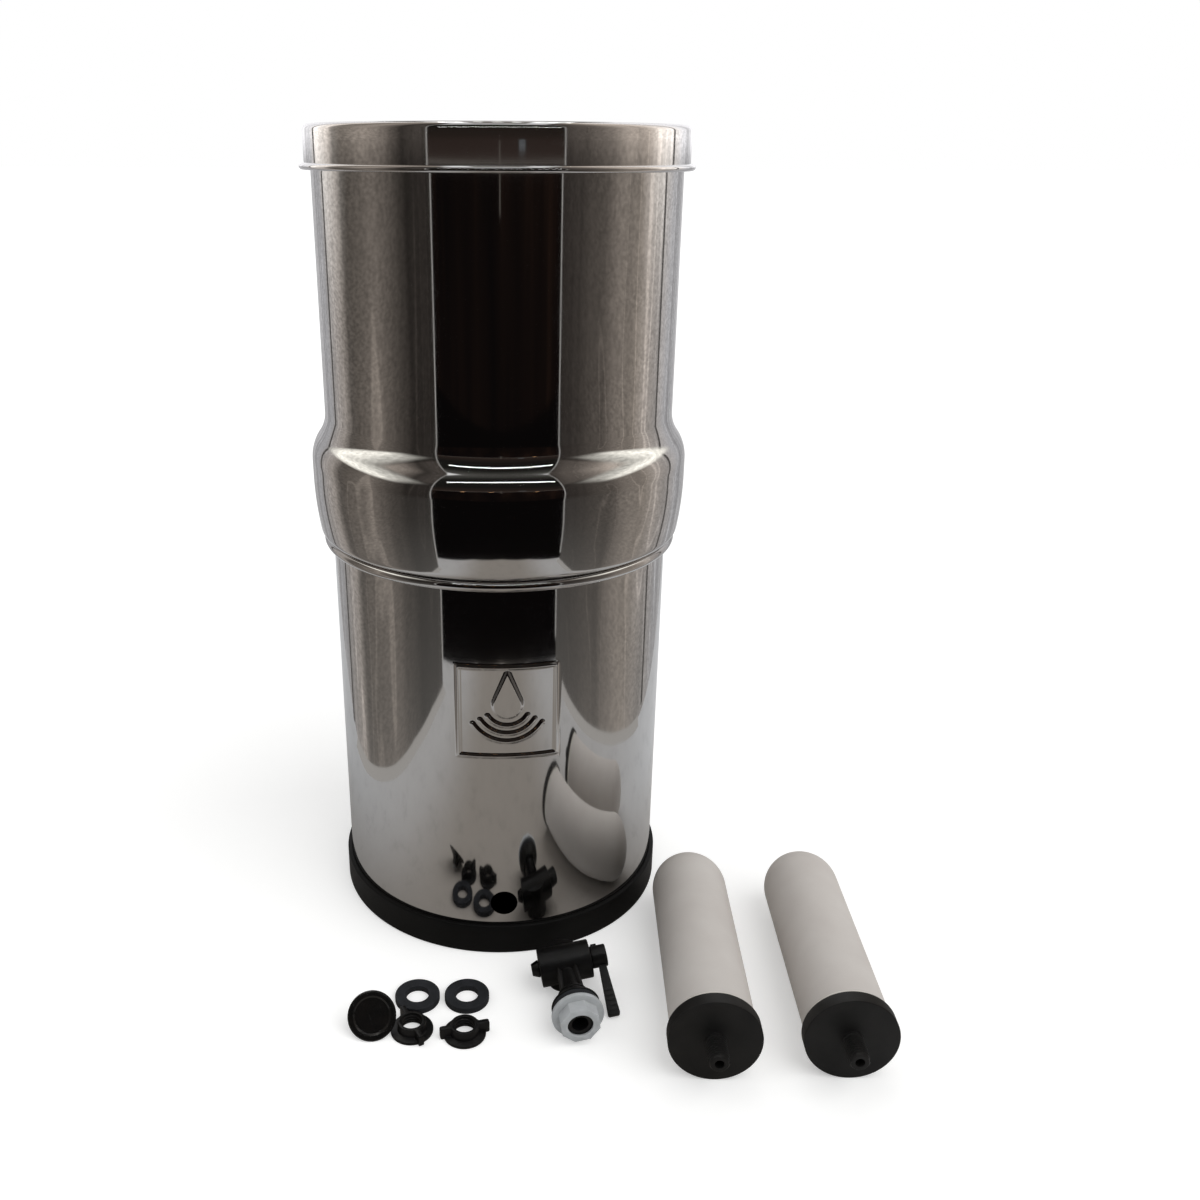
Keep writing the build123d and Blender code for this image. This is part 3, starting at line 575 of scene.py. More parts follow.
def makeFootRing():
    spec = footRing
    edge, outerEdge = spec["edge"], spec["outerEdge"]
    path = roundedPath([
        (spec["inside"], 0, edge), (spec["outside"], 0, outerEdge),
        (spec["outside"], spec["height"], outerEdge), (spec["bore"], spec["height"], edge),
        (spec["bore"], spec["sole"], spec["innerCorner"]),
        (spec["inside"], spec["sole"], edge),
    ], 6, 6)
    bm = spinProfile(path, spec["steps"])
    finishPiece(bm, "footRing", finishes["footRubber"], "housing", ["base_ring"])


makeFootRing()

# Knob: a dished button on a short neck, leaning on its screw
knob = dict(
    origin=(-75.5, -170.0, 10.7398), tilt=43.1705, heading=5.0, radius=13.6, neck=4.6, depth=9.0,
    dishDepth=0.9, dishRadius=9.55, lip=(10.6, 12.9), screw=2.0, root=1.7, screwStart=3.1, threadEnd=9.9,
    headRadius=3.75, headStart=10.2, headDepth=1.5, pitch=0.7, socket=1.45, socketDepth=0.9,
)


def makeKnob():
    spec = knob
    heading, tilt = radians(spec["heading"]), radians(spec["tilt"])
    front = Vector((sin(heading), -cos(heading), 0))
    face = front * cos(tilt) + Vector((0, 0, sin(tilt)))
    place = layPlace(spec["origin"], face, (cos(heading), sin(heading), 0))
    neckCurve = interpolate_bezier(
        Vector((spec["radius"], -1.2)), Vector((spec["radius"] - 1.6, -1.75)),
        Vector((spec["neck"] + 0.45, -3.6)), Vector((spec["neck"], -5.6)), 14,
    )
    dish, lip = spec["dishDepth"], spec["lip"]
    path = roundedPath([
        (0, -dish), (spec["dishRadius"], -dish, 0.6), (lip[0], 0, 0.35), (lip[1], 0, 0.8),
        (spec["radius"], -0.75),
    ], 6, 2)
    path += neckCurve
    bore, boreEnd = spec["screw"] + 0.05, 0.1 - spec["screwStart"]
    path += roundedPath([
        (spec["neck"], -spec["depth"], 0.3), (bore, -spec["depth"]), (bore, boreEnd), (0, boreEnd),
    ], 5, 3)
    bm = spinProfile(path, 128)
    finishPiece(bm, "knobButton", finishes["knobPlastic"], "lid_knob", ["lid_knob"], place)

    start, root, socket = -spec["screwStart"], spec["root"], spec["socket"]
    headEnd = -spec["headStart"] - spec["headDepth"]
    socketEnd = headEnd + spec["socketDepth"]
    path = roundedPath([
        (0, start), (root - 0.15, start), (root, start - 0.4), (root, -spec["threadEnd"]),
        (spec["screw"], -spec["headStart"]), (spec["headRadius"], -spec["headStart"], 0.2),
        (spec["headRadius"], headEnd, 0.7), (socket, headEnd), (socket, socketEnd), (0, socketEnd),
    ], 5, 2)
    bm = spinProfile(path, 60)
    # the round socket is drawn in to a hexagon
    for vert in bm.verts:
        if abs(hypot(*vert.co.xy) - socket) < 0.01 and vert.co.z < -spec["headStart"] - 0.2:
            turn = atan2(vert.co.y, vert.co.x) % (pi / 3) - pi / 6
            vert.co.xy *= cos(pi / 6) / cos(turn)
    addThread(bm, root, spec["screw"], spec["pitch"], 0.2 - spec["threadEnd"], start - 0.6)
    finishPiece(bm, "knobScrew", finishes["screwSteel"], "lid_knob", ["lid_knob_screw"], place)


makeKnob()
print("foot ring and knob ready")

# Candles: a slip cast ceramic dome sealed into a moulded cap with a threaded stem
candle = dict(
    places=((109.1, -212.5), (181.6, -213.9)), headings=(4.0, 3.7), rise=25.4298, dip=0.9545, length=160.0,
    radius=23.15, wall=7.0, capRadius=25.3, capDepth=8.0, capBore=23.7, capFloor=2.5, ceramicFoot=3.7,
    stemRadius=5.8, stemRoot=5.15, stemLength=16.5, stemBore=2.5, collar=(1.3, 1.9), pitch=1.75, smear=3.2,
)


def makeCandle(number):
    spec = candle
    heading, dip = radians(spec["headings"][number]), radians(spec["dip"])
    along = Vector((sin(heading) * cos(dip), cos(heading) * cos(dip), -sin(dip)))
    place = layPlace((*spec["places"][number], spec["rise"]), along, (cos(heading), -sin(heading), 0))
    body, label = f"candle_{number + 1}", f"candle{number + 1}"
    end, root, crest, bore = -spec["stemLength"], spec["stemRoot"], spec["stemRadius"], spec["stemBore"]
    capBore, capFloor, capDepth = spec["capBore"], spec["capFloor"], spec["capDepth"]
    path = roundedPath([
        (bore, end, 0.25), (root - 0.5, end, 0.3), (root, end + 1.1, 0.2), (root, -spec["collar"][1], 0.2),
        (crest, -spec["collar"][0], 0.15), (crest, 0, 0.35), (spec["capRadius"], 0, 0.45),
        (spec["capRadius"], capDepth, 0.35), (capBore, capDepth, 0.2), (capBore, capFloor), (bore, capFloor),
    ], 4, 3)
    bm = spinProfile(path, 160)
    addThread(bm, root, crest, spec["pitch"], end + 1.5, -0.5 - spec["collar"][1])
    finishPiece(
        bm, label + "Cap", finishes["capPlastic"], body, [body + "_base"], place,
    )

    radius, foot = spec["radius"], spec["ceramicFoot"]
    dome, cavity = spec["length"] - radius, radius - spec["wall"]
    path = roundedPath([(radius, foot), (radius, dome - 0.6)], 1, 6)
    path += arcPath((0, dome), radius, 0, 90, 28)
    path += arcPath((0, dome), cavity, 90, 0, 14)
    path += roundedPath([(cavity, dome - 1), (cavity, foot)], 1, 40)
    bm = spinProfile(path, 160)
    finishPiece(bm, label + "Ceramic", finishes["ceramic"], body, [body + "_ceramic"], place)

    # the resin fills the joint and runs a little way up the ceramic, thinner as it goes
    smearEnd, under = capDepth + spec["smear"], radius - 0.01
    path = roundedPath([
        (cavity, capFloor), (capBore, capFloor), (capBore, capDepth + 0.12), (radius + 0.3, capDepth + 0.6),
        (radius + 0.14, smearEnd), (under, smearEnd + 0.2), (under, foot), (cavity, foot),
    ], 4, 4)
    bm = spinProfile(path, 160)
    finishPiece(bm, label + "Seal", finishes["resin"], body, [body + "_seal"], place)
    finishNode(body + "_core", "carbon")


for number in range(2):
    makeCandle(number)
print("candles ready")

# Washers and wing nuts of the candles
washer = dict(places=((-51.5, -144.8), (-22.7, -145.5)), radius=13.0, hole=6.65, thickness=3.8, edge=0.4)
wingNut = dict(
    places=((-53.4, -170.3), (-23.7, -174.2)), bore=6.0, crest=5.45, pitch=1.75, height=7.0, edge=0.35,
)


def softenedCopy(node, name, finish, body, slot, width, sharpDegrees=38, threads=()):
    # a moulding has no true edge, so a copy of the drawn part gets its edges rounded
    bm = bmesh.new()
    bm.from_mesh(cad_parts[node].data)
    bmesh.ops.transform(bm, matrix=Matrix.Scale(1 / millimetre, 4), verts=bm.verts[:])
    bmesh.ops.remove_doubles(bm, verts=bm.verts[:], dist=0.002)
    bmesh.ops.dissolve_limit(bm, angle_limit=radians(0.6), verts=bm.verts[:], edges=bm.edges[:])
    sharp = radians(sharpDegrees)
    edges = [edge for edge in bm.edges if edge.is_manifold and edge.calc_face_angle(0) > sharp]
    bmesh.ops.bevel(
        bm, geom=edges, offset=width, offset_type="OFFSET", segments=2, profile=0.5, affect="EDGES",
        material=-1, clamp_overlap=True,
    )
    for place, values in threads:
        ridge = bmesh.new()
        addThread(ridge, *values)
        ridge.transform(place)
        shell = bpy.data.meshes.new("ridge")
        ridge.to_mesh(shell)
        ridge.free()
        bm.from_mesh(shell)
        bpy.data.meshes.remove(shell)
    finishPiece(bm, name, finishes[finish], body, [node], sharpDegrees=sharpDegrees)


for number in range(2):
    hole, radius, thickness, edge = (washer[key] for key in ("hole", "radius", "thickness", "edge"))
    path = roundedPath([
        (hole, 0, edge), (radius, 0, edge), (radius, thickness, edge), (hole, thickness, edge),
    ], 4, 2)
    node = f"candle_washer_{number + 1}"
    finishPiece(
        spinProfile(path, 128), f"candleWasher{number + 1}", finishes["washerRubber"], node,
        [node], Matrix.Translation((*washer["places"][number], 0)),
    )
    nutPlace = Matrix.Translation((*wingNut["places"][number], 0))
    nutThread = (wingNut["bore"], wingNut["crest"], wingNut["pitch"], 1.0, wingNut["height"] - 1.0)
    node = f"wing_nut_{number + 1}"
    softenedCopy(
        node, f"wingNut{number + 1}", "tapPlastic", node, "tap_plastic", wingNut["edge"],
        threads=[(nutPlace, nutThread)],
    )

# Tap, from the drawn parts with their edges rounded
tapPieces = [
    ("tap_body", "tapBody", "tapPlastic", "tap", "tap_plastic", 0.3),
    ("tap_lever", "tapLever", "tapPlastic", "tap_valve", "tap_plastic", 0.3),
    ("tap_plug", "tapPlug", "tapPlastic", "tap_valve", "tap_plastic", 0.15),
    ("tap_nut", "tapNut", "nutNylon", "tap_nut", "nut_nylon", 0.3),
    ("tap_outer_washer", "tapOuterWasher", "washerRubber", "tap", "washer_rubber", 0.25),
    ("tap_inner_washer", "tapInnerWasher", "washerRubber", "tap", "washer_rubber", 0.25),
]
for details in tapPieces:
    softenedCopy(*details)
finishNode("tap_plug_o_rings", "ringRubber")
print("washers, nuts and tap ready")


# Studio: white floor, a light tent whose cloth walls the steel mirrors, and the dark room in front of it.
# The cards are seen only in reflections, and lengths here are in metres
studio = dict(
    leftPath=(
        (-0.275, -0.372), (-0.284, -0.30), (-0.283, -0.20), (-0.268, -0.10), (-0.260, 0.02), (-0.266, 0.09),
        (-0.30, 0.18), (-0.35, 0.46), (-0.37, 1.4),
    ),
    rightPath=(
        (0.283, -0.43), (0.289, -0.32), (0.300, -0.23), (0.314, -0.14), (0.323, -0.05), (0.322, 0.06),
        (0.328, 0.18), (0.35, 0.46), (0.37, 1.4),
    ),
    # the cloth's brightness at each depth, then its tints from front to back
    leftTones=(
        (-0.38, 0.035), (-0.25, 0.04), (-0.19, 0.13), (-0.12, 0.24), (-0.03, 0.17), (0.0, 0.16), (0.03, 0.55),
        (0.10, 0.42), (0.40, 0.55),
    ),
    rightTones=(
        (-0.43, 0.03), (-0.31, 0.055), (-0.20, 0.12), (-0.13, 0.25), (-0.05, 0.36), (0.0, 0.54), (0.06, 0.44),
        (0.17, 0.54), (0.40, 0.56),
    ),
    tints=((0.0, "#ffeee2"), (0.45, "#fff0e2"), (0.75, "#fdfcff")),
    # the lit patch on each wall: depth and height, spread, brightness
    leftPatch=((0.09, 0.50), (0.13, 0.19), 0.95), rightPatch=((0.05, 0.50), (0.12, 0.17), 0.8),
    wallHeight=1.25, hem=0.02, frontPoints=6, seamPlace=(0.02, 0.034), ceiling=(-0.4, -0.44, 0.4, 1.4),
    floorEdge=(
        (-1.7, -0.30), (-0.36, -0.40), (-0.274, -0.44), (-0.14, -0.502), (0, -0.524), (0.14, -0.502),
        (0.273, -0.444), (0.36, -0.40), (1.7, -0.30),
    ),
    roomWall=-1.5, roomHalf=1.7, roomHeight=2.4, flap=-0.75, flapHalf=0.75, flapFoot=0.452, flapHead=1.3,
    # side, height and length of each warm lamp
    warmLamps=(
        (-0.62, 0.60, 0.07), (-0.40, 0.63, 0.05), (-0.18, 0.61, 0.09), (0.33, 0.62, 0.06), (0.52, 0.58, 0.05),
    ),
    # middle, width and depth of each long lamp
    softboxes=((-0.21, 0.06, 0.14, 0.7), (0.22, 0.06, 0.14, 0.7), (0, 0.5, 0.3, 0.2)),
    # a shelf's height, its brightest spot, how quickly and between what levels it dims, and its fading edges
    shelf=0.35, shelfSpot=(0.225, -0.045), shelfDimming=(11, 6), shelfLevels=(0.85, 1.9),
    shelfFades=(("X", 0.112, 0.15), ("X", 0.286, 0.2), ("Y", -0.21, -0.12)),
    shelfOutline=(
        (0.30, -0.21), (0.30, 0.12), (0.11, 0.12), (0.11, -0.02), (0.1, -0.06), (0.093, -0.10),
        (0.098, -0.21),
    ),
    # depth, height, width, length, spacing and count to each side of the diodes in a row
    diodeRows=((-0.42, 0.54, 0.0045, 0.009, 0.012, 20), (0.074, 1.2, 0.032, 0.06, 0.072, 4)), diodeLean=0.7,
    floorHalf=30, floorLift=0.36, suns=(("keyLamp", 1.5, 60, (32, -24)), ("fillLamp", 0.75, 90, (-38, 32))),
)


def stagePiece(name, bm, material, hidden=True):
    mesh = bpy.data.meshes.new(name)
    bm.to_mesh(mesh)
    bm.free()
    mesh.materials.append(material)
    card = bpy.data.objects.new(name, mesh)
    bpy.context.scene.collection.objects.link(card)
    if hidden:
        card.visible_camera = card.visible_diffuse = card.visible_transmission = card.visible_shadow = False


def cardMesh(*outlines):
    bm = bmesh.new()
    for outline in outlines:
        bm.faces.new([bm.verts.new(corner) for corner in outline])
    return bm


def flatRectangle(left, front, right, back, height):
    return [(left, front, height), (right, front, height), (right, back, height), (left, back, height)]


def uprightCard(path, low, high):
    # a band that stands on a path of floor points
    bm = bmesh.new()
    feet = [bm.verts.new((x, y, low)) for x, y in path]
    edges = [bm.edges.new(pair) for pair in zip(feet, feet[1:])]
    grown = bmesh.ops.extrude_edge_only(bm, edges=edges)["geom"]
    tops = [item for item in grown if isinstance(item, bmesh.types.BMVert)]
    bmesh.ops.translate(bm, vec=(0, 0, high - low), verts=tops)
    return bm


def glowMaterial(name, colour, strength=1.0):
    material = bpy.data.materials.new(name)
    material.use_nodes = True
    material.cycles.emission_sampling = "NONE"
    tree = material.node_tree
    tree.nodes.clear()
    glow = addNode(tree, "ShaderNodeEmission", {"Color": linearColour(colour), "Strength": strength})
    addNode(tree, "ShaderNodeOutputMaterial", {"Surface": glow.outputs[0]})
    return material


def glowParts(material):
    tree = material.node_tree
    return tree, tree.nodes["Emission"], tree.nodes["Material Output"].inputs["Surface"]


def clothMaterial(name, tones, tints, patch):
    # tent cloth, glowing as lit cloth looks: lighter towards the back and the top, with a lamp behind it,
    # painted shade in its folds, painted highlights along fine creases, and a coarse weave
    material = glowMaterial(name, "#808080")
    tree, glow, surface = glowParts(material)
    place = addNode(tree, "ShaderNodeTexCoord").outputs["Object"]
    parts = addNode(tree, "ShaderNodeSeparateXYZ", {"Vector": place})
    first, last = tones[0][0], tones[-1][0]
    deep = addNode(tree, "ShaderNodeMapRange", {
        "Value": parts.outputs["Y"], "From Min": first, "From Max": last,
    })
    stops = [((y - first) / (last - first), tone) for y, tone in tones]
    tone, tint = (colourSteps(tree, deep.outputs[0], steps) for steps in (stops, tints))
    tinted = addNode(tree, "ShaderNodeMix", {
        "Factor": 1.0, 6: tone, 7: tint,
    }, data_type="RGBA", blend_type="MULTIPLY")
    tree.links.new(tinted.outputs[2], glow.inputs["Color"])

    # the fold noise paints shade and light of the drape into the glow; its middle line gives the bright
    # creases
    foldShading = addNode(tree, "ShaderNodeTexNoise", {
        "Vector": stretched(tree, (1, 8, 1.3)), "Scale": 1.0, "Detail": 2.0, "Distortion": 0.6,
    })
    offLine = addNode(tree, "ShaderNodeMath", {0: foldShading.outputs["Fac"], 1: 0.5}, operation="SUBTRACT")
    lineGap = addNode(tree, "ShaderNodeMath", {0: offLine.outputs[0]}, operation="ABSOLUTE")
    weave = addNode(tree, "ShaderNodeTexNoise", {
        "Vector": stretched(tree, (1, 80, 560)), "Scale": 1.0, "Detail": 2.0,
    })
    thread = addNode(tree, "ShaderNodeMapRange", {
        "Value": weave.outputs["Fac"], "From Min": 0.34, "From Max": 0.7, "To Min": 0.76, "To Max": 1.34,
    })
    strength = thread.outputs[0]
    # painted shade of soft folds, painted highlights along sharp creases, the shaded foot and the lighter top
    for value, start, end, low, high, blend in (
        (foldShading.outputs["Fac"], 0.3, 0.7, 0.66, 1.3, "LINEAR"),
        (lineGap.outputs[0], 0.0, 0.012, 1.55, 1.0, "SMOOTHSTEP"),
        (parts.outputs["Z"], 0.05, 0.3, 0.66, 1.0, "LINEAR"),
        (parts.outputs["Z"], 0.444, 0.478, 1.0, 2.1, "SMOOTHSTEP"),
    ):
        factor = addNode(tree, "ShaderNodeMapRange", {
            "Value": value, "From Min": start, "From Max": end, "To Min": low, "To Max": high,
        }, interpolation_type=blend)
        strength = addNode(tree, "ShaderNodeMath", {
            0: strength, 1: factor.outputs[0],
        }, operation="MULTIPLY").outputs[0]
    tree.links.new(strength, glow.inputs["Strength"])

    centre, size, level = patch
    around = addNode(tree, "ShaderNodeMapping", {
        "Vector": place, "Scale": (0, 1 / size[0], 1 / size[1]),
        "Location": (0, -centre[0] / size[0], -centre[1] / size[1]),
    })
    near = addNode(tree, "ShaderNodeTexGradient", {"Vector": around.outputs[0]}, gradient_type="SPHERICAL")
    lit = addNode(tree, "ShaderNodeMath", {0: near.outputs["Fac"], 1: 1.6}, operation="POWER")
    for factor in (thread.outputs[0], level):
        lit = addNode(tree, "ShaderNodeMath", {0: lit.outputs[0], 1: factor}, operation="MULTIPLY")
    # the paper floor throws some light back on the foot of the cloth
    bounce = addNode(tree, "ShaderNodeMapRange", {
        "Value": parts.outputs["Z"], "From Min": 0.0, "From Max": 0.25, "To Min": 0.1, "To Max": 0.0,
    })
    added = addNode(tree, "ShaderNodeMath", {0: lit.outputs[0], 1: bounce.outputs[0]})
    lamp = addNode(tree, "ShaderNodeEmission", {
        "Color": linearColour("#f8f4ee"), "Strength": added.outputs[0],
    })
    both = addNode(tree, "ShaderNodeAddShader", {0: glow.outputs[0], 1: lamp.outputs[0]})
    tree.links.new(both.outputs[0], surface)
    return material


def makeTent():
    spec = studio
    high, front = spec["wallHeight"], spec["frontPoints"]
    hemCloth = glowMaterial("tentHemCloth", "#b5b2ae")
    edging = glowMaterial("tentEdging", "#c4c2bf")
    seamCloth = glowMaterial("tentSeam", "#5b5856")
    for side, inward in (("Left", 1), ("Right", -1)):
        path, tones, patch = (spec[side.lower() + part] for part in ("Path", "Tones", "Patch"))
        cloth = clothMaterial("tentCloth" + side, tones, spec["tints"], patch)
        stagePiece("tentWall" + side, uprightCard(path, 0, high), cloth)
        foot = [(x + inward * 0.001, y, 0.004) for x, y in path[:front]]
        foot += [(x + inward * spec["hem"], y, 0.002) for x, y in reversed(path[:front])]
        stagePiece("tentHem" + side, cardMesh(foot), hemCloth)
        x, y = path[0]
        edge = ((x, y), (x + inward * 0.006, y))
        stagePiece("tentEdge" + side, uprightCard(edge, 0.03, high), edging)
        x, y = path[front - 1]
        seam = [(x + inward * 0.004, y + shift) for shift in spec["seamPlace"]]
        stagePiece("tentSeam" + side, uprightCard(seam, 0.01, high), seamCloth)


def makeRoom():
    # the room beyond the open front is dark, with a few warm lamps far off
    spec = studio
    room = glowMaterial("roomDark", "#140f0e")
    tree, glow, _ = glowParts(room)
    drift = addNode(tree, "ShaderNodeTexNoise", {
        "Vector": stretched(tree, (3.2, 1, 0.7)), "Scale": 1.0, "Detail": 4.0,
    })
    shades = [(0.35, "#0f0c0c"), (0.55, "#17110f"), (0.72, "#2c1f19")]
    tree.links.new(colourSteps(tree, drift.outputs["Fac"], shades), glow.inputs["Color"])
    wide, far = spec["roomHalf"], spec["roomWall"]
    stagePiece("roomWall", uprightCard(((-wide, far), (wide, far)), 0, spec["roomHeight"]), room)
    darkFloor = [(x, y, 0.002) for x, y in spec["floorEdge"]] + [(wide, far, 0.002), (-wide, far, 0.002)]
    stagePiece("roomFloor", cardMesh(darkFloor), glowMaterial("roomFloorDark", "#0c0a0a"))

    flapCloth = glowMaterial("frontFlap", "#1d1d1b")
    tree, glow, _ = glowParts(flapCloth)
    height = addNode(tree, "ShaderNodeSeparateXYZ", {"Vector": stretched(tree, (1, 1, 1))})
    up = addNode(tree, "ShaderNodeMapRange", {
        "Value": height.outputs["Z"], "From Min": 0.45, "From Max": 1.3,
    })
    shades = [(0.0, "#3a302c"), (0.06, "#2e2723"), (0.2, "#1f1e1c"), (0.6, "#232320"), (1.0, "#5d5c58")]
    tree.links.new(colourSteps(tree, up.outputs[0], shades), glow.inputs["Color"])
    trim = glowMaterial("flapTrim", "#68635e")
    glass = glowMaterial("roomWindow", "#6f7478")
    half, foot = spec["flapHalf"], spec["flapFoot"]
    # name, sides, distance in front of the flap, foot, head and material
    for name, left, right, ahead, low, high, material in (
        ("frontFlap", -half, half, 0, foot, spec["flapHead"], flapCloth),
        ("flapTrim", -half, half, 0.001, foot - 0.006, foot, trim),
        ("roomWindow", 0.13, 0.175, 0.002, 0.462, 0.474, glass),
        ("roomPole", -0.003, 0.004, 0.003, 0.40, 0.471, trim),
    ):
        y = spec["flap"] + ahead
        stagePiece(name, uprightCard(((left, y), (right, y)), low, high), material)

    lamps, y = [], far + 0.02
    for x, z, length in spec["warmLamps"]:
        lamps.append([(x, y, z), (x + length, y, z + 0.004), (x + length, y, z + 0.014), (x, y, z + 0.01)])
    stagePiece("roomLamps", cardMesh(*lamps), glowMaterial("warmLamp", "#ffc58f", 2.2))


def shelfMaterial(side, turn):
    # brightest over the hollow of the bulge, and fading out at its edges
    material = glowMaterial("shelfLight" + side, "#f6f3ea")
    tree, glow, surface = glowParts(material)
    (x, y), (across, along), (dim, bright) = (
        studio["shelf" + part] for part in ("Spot", "Dimming", "Levels")
    )
    around = addNode(tree, "ShaderNodeMapping", {
        "Vector": addNode(tree, "ShaderNodeTexCoord").outputs["Object"], "Scale": (across, along, 0),
        "Location": (-across * turn * x, -along * y, 0),
    })
    near = addNode(tree, "ShaderNodeTexGradient", {"Vector": around.outputs[0]}, gradient_type="SPHERICAL")
    level = addNode(tree, "ShaderNodeMapRange", {
        "Value": near.outputs["Fac"], "From Min": 0.0, "From Max": 0.8, "To Min": dim, "To Max": bright,
    }, interpolation_type="SMOOTHSTEP")
    grain = addNode(tree, "ShaderNodeTexNoise", {
        "Vector": stretched(tree, (1, 1, 1)), "Scale": 90.0, "Detail": 5.0,
    })
    uneven = addNode(tree, "ShaderNodeMapRange", {
        "Value": grain.outputs["Fac"], "From Min": 0.3, "From Max": 0.7, "To Min": 0.7, "To Max": 1.25,
    })
    speckled = addNode(tree, "ShaderNodeMath", {
        0: level.outputs[0], 1: uneven.outputs[0],
    }, operation="MULTIPLY")
    tree.links.new(speckled.outputs[0], glow.inputs["Strength"])
    parts = addNode(tree, "ShaderNodeSeparateXYZ", {"Vector": stretched(tree, (turn, 1, 1))})
    shown = 1.0
    for axis, start, end in studio["shelfFades"]:
        edge = addNode(tree, "ShaderNodeMapRange", {
            "Value": parts.outputs[axis], "From Min": start, "From Max": end,
        }, interpolation_type="SMOOTHSTEP")
        shown = addNode(tree, "ShaderNodeMath", {
            0: shown, 1: edge.outputs[0],
        }, operation="MULTIPLY").outputs[0]
    back = addNode(tree, "ShaderNodeNewGeometry").outputs["Backfacing"]
    share = addNode(tree, "ShaderNodeMath", {0: shown, 1: back}, operation="SUBTRACT", use_clamp=True)
    clear = addNode(tree, "ShaderNodeBsdfTransparent")
    oneSide = addNode(tree, "ShaderNodeMixShader", {
        0: share.outputs[0], 1: clear.outputs[0], 2: glow.outputs[0],
    })
    tree.links.new(oneSide.outputs[0], surface)
    return material


def makeOverhead():
    # long lamps, a grey cloth ceiling, a shelf light at each side, seen from below only, and rows of diodes
    spec = studio
    high = spec["wallHeight"]
    stagePiece("softboxes", cardMesh(*[
        flatRectangle(x - width / 2, y - depth / 2, x + width / 2, y + depth / 2, high + 0.01)
        for x, y, width, depth in spec["softboxes"]
    ]), glowMaterial("softboxWhite", "#ffffff", 1.5))
    ceiling = cardMesh(flatRectangle(*spec["ceiling"], high + 0.02))
    stagePiece("tentCeiling", ceiling, glowMaterial("tentCeiling", "#8b8782"))
    for side, turn in (("Left", -1), ("Right", 1)):
        outline = [(turn * x, y, spec["shelf"]) for x, y in spec["shelfOutline"]]
        card = cardMesh(outline if turn < 0 else outline[::-1])
        stagePiece("shelfLight" + side, card, shelfMaterial(side, turn))
    diodes, lean = [], spec["diodeLean"]
    for y, z, width, length, gap, count in spec["diodeRows"]:
        for place in range(-count, count + 1):
            left, right = place * gap - width / 2, place * gap + width / 2
            back, top = y + length * lean, z + length * lean
            diodes.append([(left, y, z), (right, y, z), (right, back, top), (left, back, top)])
    stagePiece("diodeRows", cardMesh(*diodes), glowMaterial("diodeWhite", "#ffffff", 14.0))


def makeFloor():
    # white paper floor: the steel mirrors the tent's grey ground sheet in its place, with painted shade and
    # light on that sheet
    floor = bpy.data.materials.new("studioPaper")
    floor.use_nodes = True
    tree = floor.node_tree
    tree.nodes.clear()
    path = addNode(tree, "ShaderNodeLightPath")
    parts = addNode(tree, "ShaderNodeSeparateXYZ", {"Vector": stretched(tree, (1, 1, 1))})
    # the sheet's grey is painted darker near the middle front and lighter to the sides and the back: painted
    # shade and light over its own grey, with real smudges on top
    sideways = addNode(tree, "ShaderNodeMath", {0: parts.outputs["X"]}, operation="ABSOLUTE")
    outwards = addNode(tree, "ShaderNodeMapRange", {
        "Value": sideways.outputs[0], "From Min": 0.07, "From Max": 0.24, "To Min": 0.0, "To Max": 0.6,
    }, interpolation_type="SMOOTHSTEP")
    backwards = addNode(tree, "ShaderNodeMapRange", {
        "Value": parts.outputs["Y"], "From Min": -0.2, "From Max": 0.2, "To Min": 0.0, "To Max": 0.5,
    }, interpolation_type="SMOOTHSTEP")
    light = addNode(tree, "ShaderNodeMath", {0: outwards.outputs[0], 1: backwards.outputs[0]})
    shadedSheetTone = colourSteps(tree, light.outputs[0], [(0.0, "#9f9992"), (1.0, "#d2d3d5")])
    scuffs = addNode(tree, "ShaderNodeTexNoise", {
        "Vector": stretched(tree, (1, 1, 1)), "Scale": 30.0, "Detail": 8.0, "Roughness": 0.7,
    })
    wear = colourSteps(tree, scuffs.outputs["Fac"], [(0.32, 0.87), (0.46, 0.99), (0.7, 1.03)])
    worn = addNode(tree, "ShaderNodeMix", {
        "Factor": 1.0, 6: shadedSheetTone, 7: wear,
    }, data_type="RGBA", blend_type="MULTIPLY")
    paper = addNode(tree, "ShaderNodeMix", {
        "Factor": path.outputs["Is Glossy Ray"], 6: linearColour("#e8e8e7"), 7: worn.outputs[2],
    }, data_type="RGBA")
    surface = addNode(tree, "ShaderNodeBsdfDiffuse", {"Color": paper.outputs[2]})
    direct = addNode(tree, "ShaderNodeMath", {
        0: path.outputs["Is Camera Ray"], 1: path.outputs["Is Transmission Ray"],
    }, operation="MAXIMUM")
    level = addNode(tree, "ShaderNodeMath", {
        0: direct.outputs[0], 1: studio["floorLift"],
    }, operation="MULTIPLY")
    lift = addNode(tree, "ShaderNodeEmission", {"Strength": level.outputs[0]})
    both = addNode(tree, "ShaderNodeAddShader", {0: surface.outputs[0], 1: lift.outputs[0]})
    addNode(tree, "ShaderNodeOutputMaterial", {"Surface": both.outputs[0]})
    half = studio["floorHalf"]
    stagePiece("studioFloor", cardMesh(flatRectangle(-half, -half, half, half, 0)), floor, hidden=False)


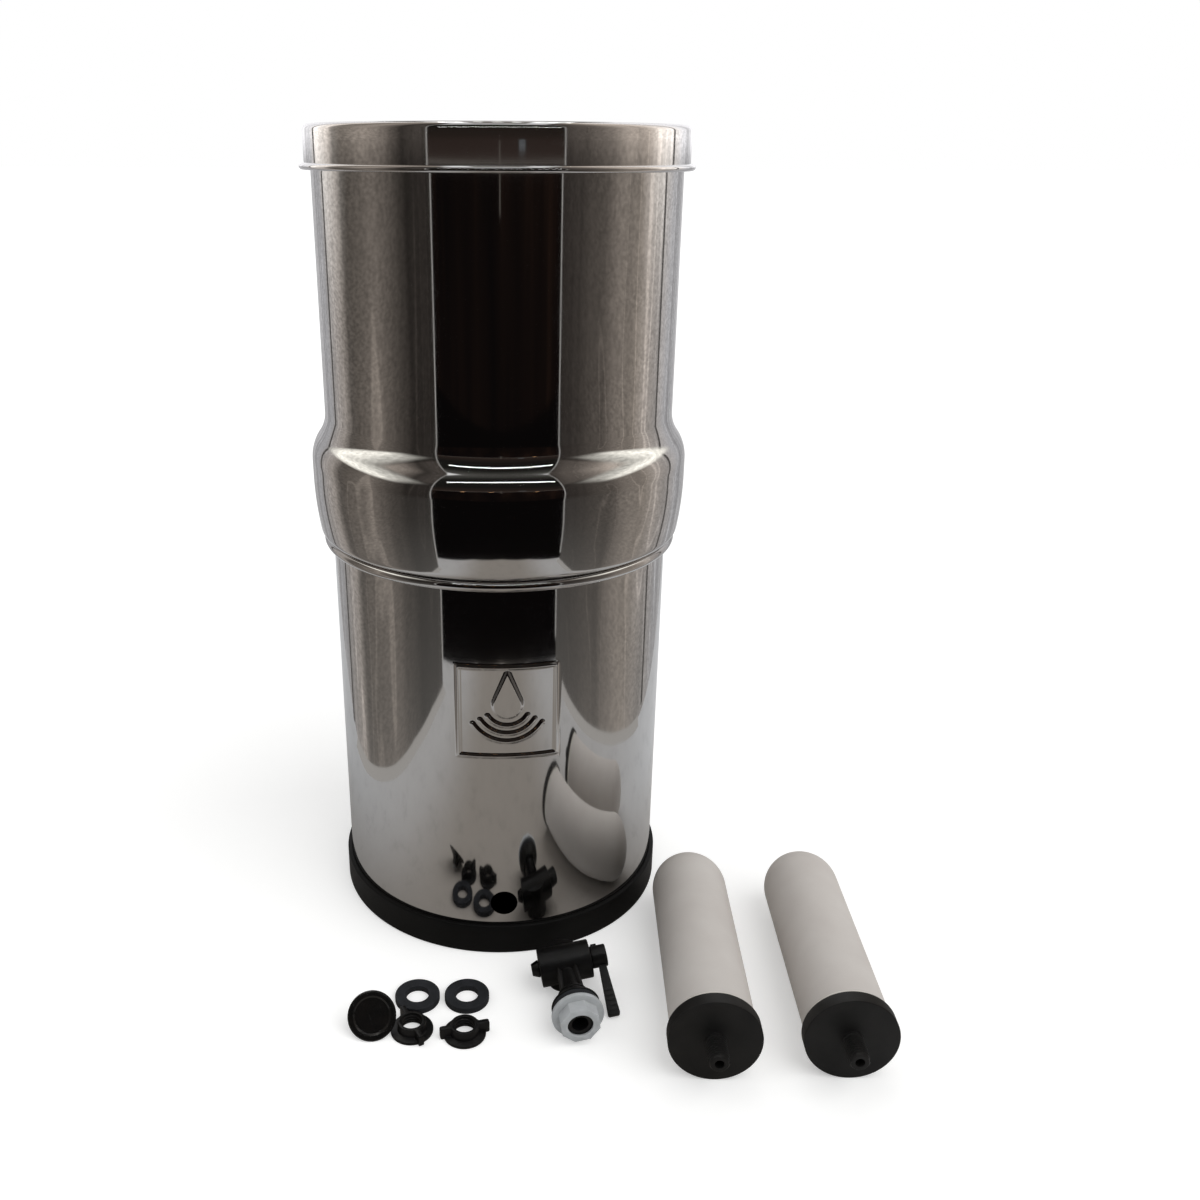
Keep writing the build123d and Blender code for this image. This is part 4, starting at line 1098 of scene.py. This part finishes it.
def makeSky():
    # white where it is seen, dimmer as light
    world = bpy.data.worlds.new("studioWorld")
    world.use_nodes = True
    bpy.context.scene.world = world
    tree = world.node_tree
    tree.nodes.clear()
    path = addNode(tree, "ShaderNodeLightPath")
    direct = addNode(tree, "ShaderNodeMath", {
        0: path.outputs["Is Camera Ray"], 1: path.outputs["Is Glossy Ray"],
    }, operation="MAXIMUM")
    shown = addNode(tree, "ShaderNodeMath", {
        0: direct.outputs[0], 1: path.outputs["Is Transmission Ray"],
    }, operation="MAXIMUM")
    strength = addNode(tree, "ShaderNodeMapRange", {"Value": shown.outputs[0], "To Min": 0.45, "To Max": 1.0})
    sky = addNode(tree, "ShaderNodeBackground", {"Color": (1, 1, 1, 1), "Strength": strength.outputs[0]})
    addNode(tree, "ShaderNodeOutputWorld", {"Surface": sky.outputs[0]})
    for name, energy, spread, (east, north) in studio["suns"]:
        light = bpy.data.lights.new(name, "SUN")
        light.energy = energy
        light.angle = radians(spread)
        lamp = bpy.data.objects.new(name, light)
        lamp.rotation_euler = (radians(-north), radians(east), 0)
        lamp.visible_glossy = False
        bpy.context.scene.collection.objects.link(lamp)


makeTent()
makeRoom()
makeOverhead()
makeFloor()
makeSky()

# Camera, as place in metres, angles in degrees and lens in millimetres
view = dict(
    place=(-0.010737, -0.683494, 0.462122), heading=2.321, pitch=21.488, roll=0.248,
    lens=34.319, sensor=36, shift=0.0613,
)
camera = bpy.data.cameras.new("studioCamera")
camera.lens = view["lens"]
camera.sensor_width = view["sensor"]
camera.shift_x = view["shift"]
camera.clip_start = 0.01
cameraObject = bpy.data.objects.new("studioCamera", camera)
turned = Matrix()
for degrees, axis in ((-view["heading"], "Z"), (90 - view["pitch"], "X"), (view["roll"], "Z")):
    turned = turned @ Matrix.Rotation(radians(degrees), 4, axis)
cameraObject.matrix_world = Matrix.Translation(view["place"]) @ turned
bpy.context.scene.collection.objects.link(cameraObject)
bpy.context.scene.camera = cameraObject
bpy.context.scene.view_settings.view_transform = "Standard"
print("studio and camera ready")
